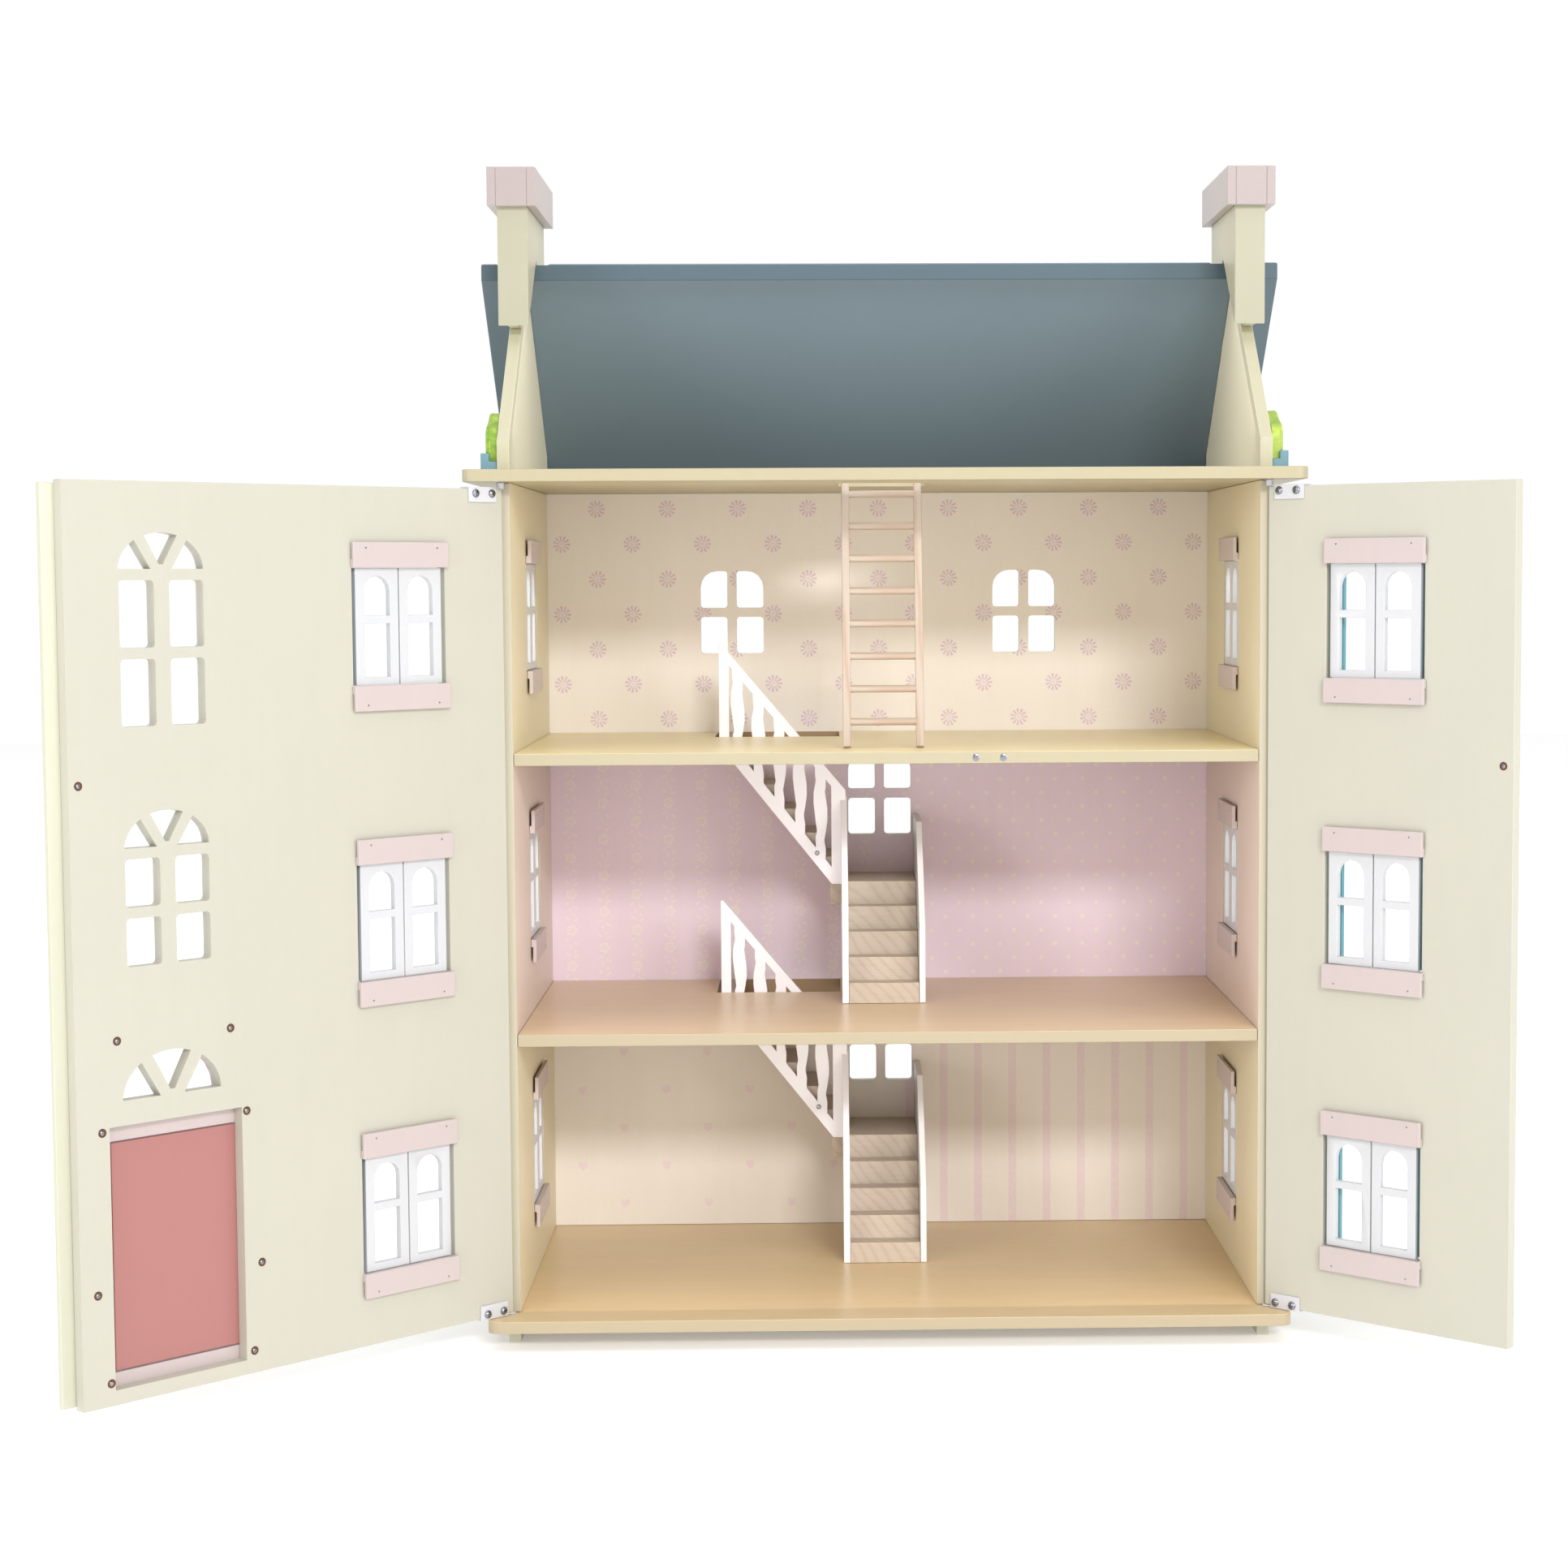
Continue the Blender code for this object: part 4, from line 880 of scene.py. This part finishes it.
# ---------------------------------------------------------------- chimneys
def chimney_caps():
    """Each cap is four boards round the stack: long sides, with the end boards between them."""
    for tag in ("left", "right"):
        low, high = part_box(tag + "_chimney_cap")
        stack_low, stack_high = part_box(tag + "_chimney_stack")
        gap = 0.0003
        seam = 0.0001
        x_low, x_high = stack_low.x - gap, stack_high.x + gap
        for name, x0, x1, y0, y1 in (
                ("west", low.x, x_low, low.y, high.y), ("east", x_high, high.x, low.y, high.y),
                ("front", x_low + seam, x_high - seam, low.y + seam, stack_low.y - gap),
                ("rear", x_low + seam, x_high - seam, stack_high.y + gap, high.y - seam)):
            outline = rectangle(x0, x1, y0, y1)
            piece = prism("%s_cap_%s" % (tag, name), "xy", outline, low.z, high.z, "cap", bevel=0.0004)
            put(piece, "carcass")
        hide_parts(tag + "_chimney_cap")


chimney_caps()


# ---------------------------------------------------------------- planters
PLANTER_FLOOR = 0.0062          # thickness of the trough's floor
PLANTER_LIP = 0.0062            # thickness of its outer lip
PLANTER_RISE = 0.0122           # height of the lip
HEDGE_DEPTH = (0.0002, 0.0066)  # from the gable, behind the lip
BUSH_DEPTH = (0.0060, 0.0086)   # in front of the hedge, over the lip


def hedge_outline(start, end, bottom, raised=0.0):
    """Bush with a row of lobes; raised is how far its flat foot stands above the trough's bottom."""
    low_lobe = 0.0262 - raised
    high_lobe = 0.0375 - raised
    radius = 0.011
    crown = 0.008
    points = [(start, bottom), (end, bottom)]
    points += arc((end - radius, bottom + low_lobe - radius), radius, radius, 0, 80, 8)
    lobes = 5
    span = (end - start - 4 * radius) / lobes
    for i in range(lobes):
        centre = end - 2 * radius - span * (i + 0.5)
        points += arc((centre, bottom + high_lobe - crown), span * 0.5, crown, 12, 168, 9)
    points += arc((start + radius, bottom + low_lobe - radius), radius, radius, 100, 180, 8)
    return points


def planters():
    for side, tag in ((-1, "left"), (1, "right")):
        low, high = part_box(tag + "_planter")
        wall = high.x if side < 0 else low.x
        width = high.x - low.x
        section = [(0, 0), (width, 0), (width, PLANTER_RISE), (width - PLANTER_LIP, PLANTER_RISE),
                   (width - PLANTER_LIP, PLANTER_FLOOR), (0, PLANTER_FLOOR)]
        section = [(wall + side * u, low.z + v) for u, v in section]
        trough = prism(tag + "_planter_trough", "xz", section, low.y, high.y, "trough", bevel=0.0007)
        put(trough, "carcass", replaces=(tag + "_planter",))
        x0, x1 = sorted(wall + side * depth for depth in HEDGE_DEPTH)
        outline = hedge_outline(low.y + 0.005, high.y - 0.001, low.z + PLANTER_FLOOR + 0.0001)
        hedge = prism(tag + "_planter_hedge", "yz", outline, x0, x1, "hedge", bevel=0.0009, segments=3)
        put(hedge, "carcass")
        x0, x1 = sorted(wall + side * depth for depth in BUSH_DEPTH)
        outline = hedge_outline(low.y + 0.006, high.y - 0.002, low.z + PLANTER_RISE + 0.0003,
                                raised=PLANTER_RISE - PLANTER_FLOOR)
        bush = prism(tag + "_planter_bush", "yz", outline, x0, x1, "hedge", bevel=0.0016, segments=3)
        put(bush, "carcass")


planters()


# ---------------------------------------------------------------- ladder
LADDER_BAR = 0.006
RUNGS = 8
RUNG_RADIUS = 0.0028
FIRST_RUNG = 0.0190
RUNG_PITCH = 0.0245


def ladder():
    """Two square stiles and eight round rungs, leaning through the hatch."""
    joint = JOINTS["ladder_lift"]
    axis = Vector(joint["axis"])
    lean = math.atan2(axis.y, axis.z)
    low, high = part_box("attic_ladder")
    bar = LADDER_BAR
    half = (high.x - low.x) / 2
    centre = (high.x + low.x) / 2
    foot = Vector((centre, low.y, low.z + bar * math.sin(lean)))
    matrix = Matrix.Translation(foot) @ Matrix.Rotation(-lean, 4, "X")
    length = (high.z - low.z - bar * math.sin(lean)) / math.cos(lean)
    for side in (-1, 1):
        x0, x1 = sorted((side * (half - bar), side * half))
        name = "ladder_stile_%s" % ("left" if side < 0 else "right")
        stile = prism(name, "xy", rectangle(x0, x1, 0, bar), 0, length, "beech", bevel=0.0007)
        put(stile, "ladder", matrix)
    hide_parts("attic_ladder")
    reach = half - bar + 0.0006
    for i in range(RUNGS):
        z = (FIRST_RUNG + RUNG_PITCH * i) / math.cos(lean)
        ends = [(RUNG_RADIUS, -reach), (RUNG_RADIUS, reach)]
        rung = lathe("ladder_rung_%d" % i, ends, "beech_rung", 20, "X")
        rung.matrix_world = Matrix.Translation((0, bar / 2, z))
        put(rung, "ladder", matrix)


ladder()


# ---------------------------------------------------------------- stair screws
BALUSTRADE_SCREW = (-0.0525, 0.065, 0.1135)      # its height is above the flight's floor
for k, floor in enumerate(FLOORS[:2]):
    x, y, z = BALUSTRADE_SCREW
    screw("balustrade_screw_%d" % k, SMALL_HEAD, "carcass", Matrix.Identity(4), x, y, floor + z, -1, 0.5)


# ---------------------------------------------------------------- floor, light and camera
WHITE_LIGHT = (1.0, 1.0, 1.0)
BOUNCED_LIGHT = (1.0, 0.82, 0.66)    # light that has bounced between the rooms' warm floors and ceilings
ROOF_SLOPE = 0.87                    # run over rise of the line that the attic's lamp shines along


def studio():
    bm = bmesh.new()
    reach = 8.0
    corners = rectangle(-reach, reach, -reach, reach)
    bm.faces.new([bm.verts.new((x, y, GROUND - 0.0002)) for x, y in corners])
    ground = from_bmesh("studio_floor", bm, None)
    s = Surface("studio_floor_look", 0.9, Emission_Color=(1.0, 1.0, 1.0, 1.0), Emission_Strength=0.2)
    ground.data.materials.append(s.finish((0.95, 0.95, 0.95, 1.0)))
    world = bpy.data.worlds.new("studio")
    bpy.context.scene.world = world
    world.use_nodes = True
    tree = world.node_tree
    coords = tree.nodes.new("ShaderNodeTexCoord")
    split = tree.nodes.new("ShaderNodeSeparateXYZ")
    tree.links.new(coords.outputs["Generated"], split.inputs[0])
    depth = Value(tree, split.outputs[1])
    rear = ((depth + 0.1) * 1.6).make("ADD", 0.0, clamp=True)
    background = tree.nodes["Background"]
    background.inputs["Color"].default_value = (1.0, 1.0, 1.0, 1.0)
    tree.links.new((rear * 0.42 + 0.60).source, background.inputs["Strength"])
    centre = Vector((0, 0, 0.4))
    opening_middle = (0.0, FRONT_Y + 0.002, (CEILING + BASE_TOP) / 2)
    opening_size = (2 * WALL_IN, CEILING - BASE_TOP)
    flap_middle = (0.0, -0.070, EAVES + 0.078)
    flap_size = (2 * WALL_IN, 0.150)
    lamps = (("key", (1.7, -7.8, 3.7), (2.2, 0.8), 325.0, None, WHITE_LIGHT),
             ("left_fill", (-3.4, -3.4, 1.2), (1.6, 1.6), 56.0, None, WHITE_LIGHT),
             ("right_fill", (3.4, -3.4, 1.2), (1.6, 1.6), 56.0, None, WHITE_LIGHT),
             ("top_fill", (0.0, -1.0, 5.0), (4.0, 4.0), 80.0, None, WHITE_LIGHT),
             ("attic_fill", flap_middle, flap_size, 0.18, Vector((0, ROOF_SLOPE, -1)), WHITE_LIGHT),
             ("room_fill", opening_middle, opening_size, 0.52, Vector((0, 1, 0)), BOUNCED_LIGHT))
    for name, place, (width, height), power, aim, colour in lamps:
        lamp = bpy.data.lights.new(name, "AREA")
        lamp.shape = "RECTANGLE"
        lamp.size = width
        lamp.size_y = height
        lamp.energy = power
        obj = bpy.data.objects.new(name, lamp)
        bpy.context.scene.collection.objects.link(obj)
        obj.location = place
        obj.visible_camera = False
        lamp.color = colour
        obj.rotation_euler = (aim or centre - Vector(place)).to_track_quat("-Z", "Y").to_euler()
    bpy.context.scene.view_settings.view_transform = "Standard"


CAMERA_PLACE = (-0.0495, -2.2855, 0.5537)
CAMERA_ANGLES = (85.8203, 0.2766, -1.3052)      # up from straight down, roll, and turn to the side


def camera():
    data = bpy.data.cameras.new("camera")
    data.sensor_width = 36.0
    data.lens = 66.64
    data.shift_x = -0.0646
    data.shift_y = 0.0039
    data.clip_start = 0.05
    data.clip_end = 60.0
    obj = bpy.data.objects.new("camera", data)
    bpy.context.scene.collection.objects.link(obj)
    rotation = Euler([math.radians(angle) for angle in CAMERA_ANGLES]).to_matrix().to_4x4()
    obj.matrix_world = Matrix.Translation(CAMERA_PLACE) @ rotation
    bpy.context.scene.camera = obj


studio()
camera()
